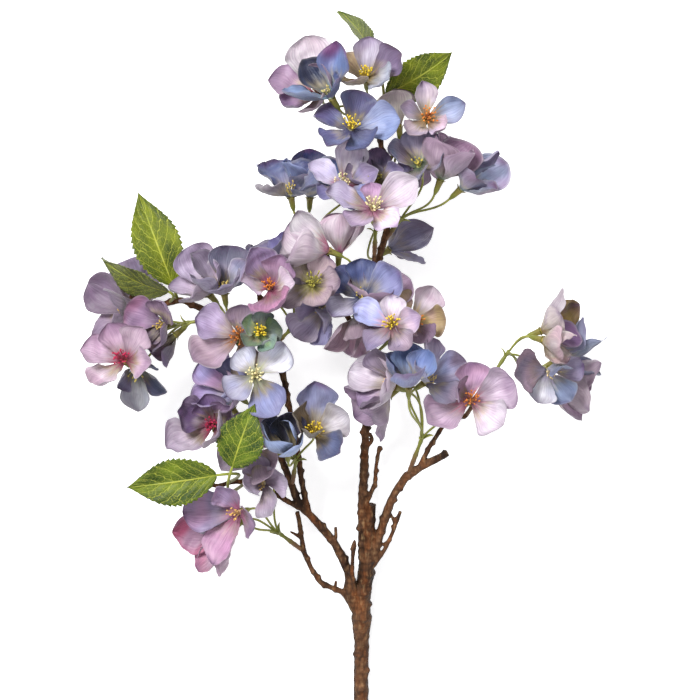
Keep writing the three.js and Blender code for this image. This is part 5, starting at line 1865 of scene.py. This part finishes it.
    Bloom("left_mauve", "left", (-88.2, 57.4, 90), (-0.1, 0.85, 0.5), (60, 36),
        ((-64, 27), (-4, 34), (56, 35), (130, 26), (216, 25)), "6E7090 8F87A6 7E7496 B0A2B8",
        "7A8098 8A7490, 7C7E98 6E6888, A89AB0 9C8CA6"),
    Bloom("left_lilac", "left", (-99.8, 57.1, 78), (-0.55, 0.65, 0.5), (62, 40),
        ((-60, 26), (34, 36), (114, 28), (206, 24)), "9A8CA4 B09EB2 9C8CA8 BCA6B8", fused="left_mauve"),
    Bloom("left_dusty", "left", (-77.4, 26.7, 84), (-0.1, 0.1, 0.98), (78, 60),
        ((-158, 30), (-82, 22), (-4, 22), (68, 32), (124, 36)), "A36A30 B99AA0 B79FC4 C9AFC9",
        "9A8A7C 7E7458, BCA8B8 A28CA6, B7A0B0 9C86A0, B9A6C6 A794BC, A08A96 8A7484", anthers=Anthers.ORANGE,
        tuft=1.0),
    Bloom("left_moss", "left", (-62.5, 29.3, 100), (0.1, 0.2, 0.97), (64, 36),
        ((-150, 19), (-78, 17), (-6, 16), (68, 16), (140, 18)), "9CAF4A 7F9A6A 86A08C 6F9096", tuft=1.0),
    Bloom("left_bud", "left", (-124.6, 28, 70), (-0.7, -0.6, 0.2), (32, 0), ring(22, 22, 22, 22),
        "8F8A4A A58A86 7C5F8C B39A8C", fused="far_left_plum"),
    Bloom("far_left_lilac", "far_left", (-158.5, 44, 56), (-0.85, 0.1, 0.45), (62, 42),
        ((-50, 30), (52, 40), (134, 33), (214, 28)), "8C7890 A08CA2 90789A B29AB0",
        "9A8496 7E6A86, 927E94 765E80, A48EA4 8A7492", slim=0.85),
    Bloom("far_left_violet", "far_left", (-152.7, 48.5, 31), (-0.3, 0.85, -0.25), (50, 30),
        ((-50, 38), (40, 32), (130, 32), (220, 33)), "80607A 98809A 8C7AA0 A68CA0"),
    Bloom("far_left_pink", "far_left", (-158.7, 9.7, 82), (-0.2, 0.35, 0.9), (74, 48),
        ((-104, 24), (-36, 26), (24, 27), (82, 30), (148, 30)), "B8405E D3BAC6 C2A2B6 CDB0C2",
        "CFB4C6 B496B0, D3BACA BFA0B8, C6A6BC AA86A6, CDB0C4 B492B0, D9C6D0 C0A2B6", anthers=Anthers.CRIMSON,
        tuft=1.0),
    Bloom("far_left_plum", "far_left", (-131, 35.2, 76), (-0.6, 0, 0.75), (62, 40),
        ((-40, 25), (62, 29), (130, 26), (220, 24)), "785C7C 96789A 84698E A88AA8",
        ", 8E7490 A4708E, 826C86 98789A"),
    Bloom("far_left_haze", "far_left", (-152.7, 4.7, 67.3), (0.1, -0.7, 0.6), (66, 48),
        ((-112, 26), (-20, 24), (92, 21), (180, 31)), "8C9A86 B4BCD2 C9D0E4 9AA2BE",
        "5A6280 6C7494, 6C7290 5E6684, 8A84A0 7A7290, F4F6FC E2E4F0", fused="far_left_pink", slim=0.85),
    Bloom("lower_pearl", "lower_left", (-66.2, 0, 96), (0.05, 0.1, 0.99), (80, 66),
        ((-152, 32), (-46, 29), (40, 20), (130, 24)), "D7D9A0 CFCBE0 B4B6D6 9BA3CC",
        "9298C6 A6A6D2, E6E6F0 DADCE8, D9D9E6 CBCBDE, CCC9E0 B7B4D4", anthers=Anthers.PALE, tuft=1.0),
    Bloom("lower_lilac", "lower_left", (-78.6, -15, 78), (-0.5, 0.5, 0.7), (66, 42),
        ((-78, 24), (-6, 28), (58, 36), (124, 33), (204, 24)), "A7A5D6 C3B3D9 DDAACB A9B4DE",
        ", A9A8D6 9696CA, CFA8CF A9A5D8, B7A6D6 C3A0CB"),
    Bloom("lower_plum", "lower_left", (-96, -36.2, 80), (-0.2, 0.2, 0.95), (68, 30),
        ((-130, 31), (-56, 24), (12, 23), (72, 28), (128, 37)), "A83858 A286A8 6F5A80 DCCBD8",
        "E0D0DA CDB6CA, 9A7E9E 846A90, 7A6088 684F78, 6A5478 5A4468, D6C8D6 B39EBC", fused="lower_lilac",
        anthers=Anthers.CRIMSON, tuft=1.0),
    Bloom("lower_azure", "lower_left", (-85.5, -25, 50), (-0.5, 0.6, 0.2), (62, 40), ring(30, 30, 30, 30),
        "8C93C6 A9B0DC C3B9DC 9AA6D6", fused="lower_lilac"),
    Bloom("fork_slate", "fork", (-25.3, -41, 84), (0.05, 0.35, 0.93), (76, 54),
        ((-136, 25), (-66, 26), (-2, 34), (66, 27), (158, 26)), "B08F2E 8E8FB0 9A9EBE 8C7F62",
        "646C90 565E84, C4BEC4 A8A4B2, 8E92B6 8084AC, 8A7450 6E5C40, 8B7A5A 7E7468", tuft=1.0),
    Bloom("fork_navy", "fork", (-44.2, -53.4, 88), (-0.05, 0.75, 0.66), (52, 0), ring(27, 27, 26, 26, 27),
        "0C0E18 2B3656 1E2740 3A4A72 B4C6F2",
        "10131F 1A2238, 161B2C 202A44, 141828 1C2440, 1A2136 26304E, 10131F 1A2238", crinkle=0.5),
    Bloom("fork_blush", "fork", (-68, -54, 60), (-0.2, 0.2, 0.8), (70, 50),
        ((45, 31), (135, 31), (225, 31), (315, 31)), "C490AC CDB4C4 BFA4BA D9C4D0",
        "CDBACA B49EB8, D6C6D4 BFA9C0", fused="bottom_pearl"),
    Bloom("bottom_rose", "bottom_left", (-78, -97.4, 76), (-0.55, -0.1, 0.8), (76, 50),
        ((-104, 25), (14, 27), (86, 40), (160, 40)), "C46A92 B49ABC D9C3D6 C58CA8",
        "A88AAC 9C7AA2, A48FB2 B096BC, A494B6 B88CB0, BE8CB0 D6B4CA", slim=0.85),
    Bloom("bottom_pink", "bottom_left", (-86.9, -112.9, 52), (-0.75, -0.45, 0.35), (50, 26),
        ((62, 42), (140, 38), (220, 36), (320, 32)), "B86E90 BD9AB8 CC4A72 C9A3BE",
        "B08AA4 C04A72, C9A6BC C2557C, C7A2BC DAB6CC, B896B0 CC9AB8", slim=0.8),
    Bloom("bottom_pearl", "bottom_left", (-61.6, -77.8, 64), (-0.3, 0, 0.9), (70, 50),
        ((-150, 26), (-76, 24), (14, 22), (110, 22)), "B9A2B6 BDB0C6 CFC4D6 A796B4"),
    Bloom("bottom_haze", "bottom_left", (-82.4, -105.4, 46.2), (-0.6, 0.3, -0.2), (60, 40),
        ring(30, 30, 30, 30), "A2A9C6 BFC3D6 D9DCE6 9AA3BE", "E4E6F0 C8CCDE", fused="bottom_pink"),
)


def main() -> None:
    """Builds every piece of the branch in order, then its surroundings."""
    logging.basicConfig(level=logging.INFO, format="%(message)s", stream=sys.stdout)
    finishes = Finishes.make()
    numbered = list(enumerate(BLOOMS, start=1))
    Wood(LIMBS).build(finishes)
    for umbel in UMBELS:
        umbel.build(numbered, finishes)
    for leaf in LEAVES:
        leaf.build(finishes)
    for body in dict.fromkeys(bloom.body for bloom in BLOOMS):
        Flowers(body, [(seed, bloom) for seed, bloom in numbered if bloom.body == body]).build(finishes)
    Stage().build()


if __name__ == "__main__":
    main()
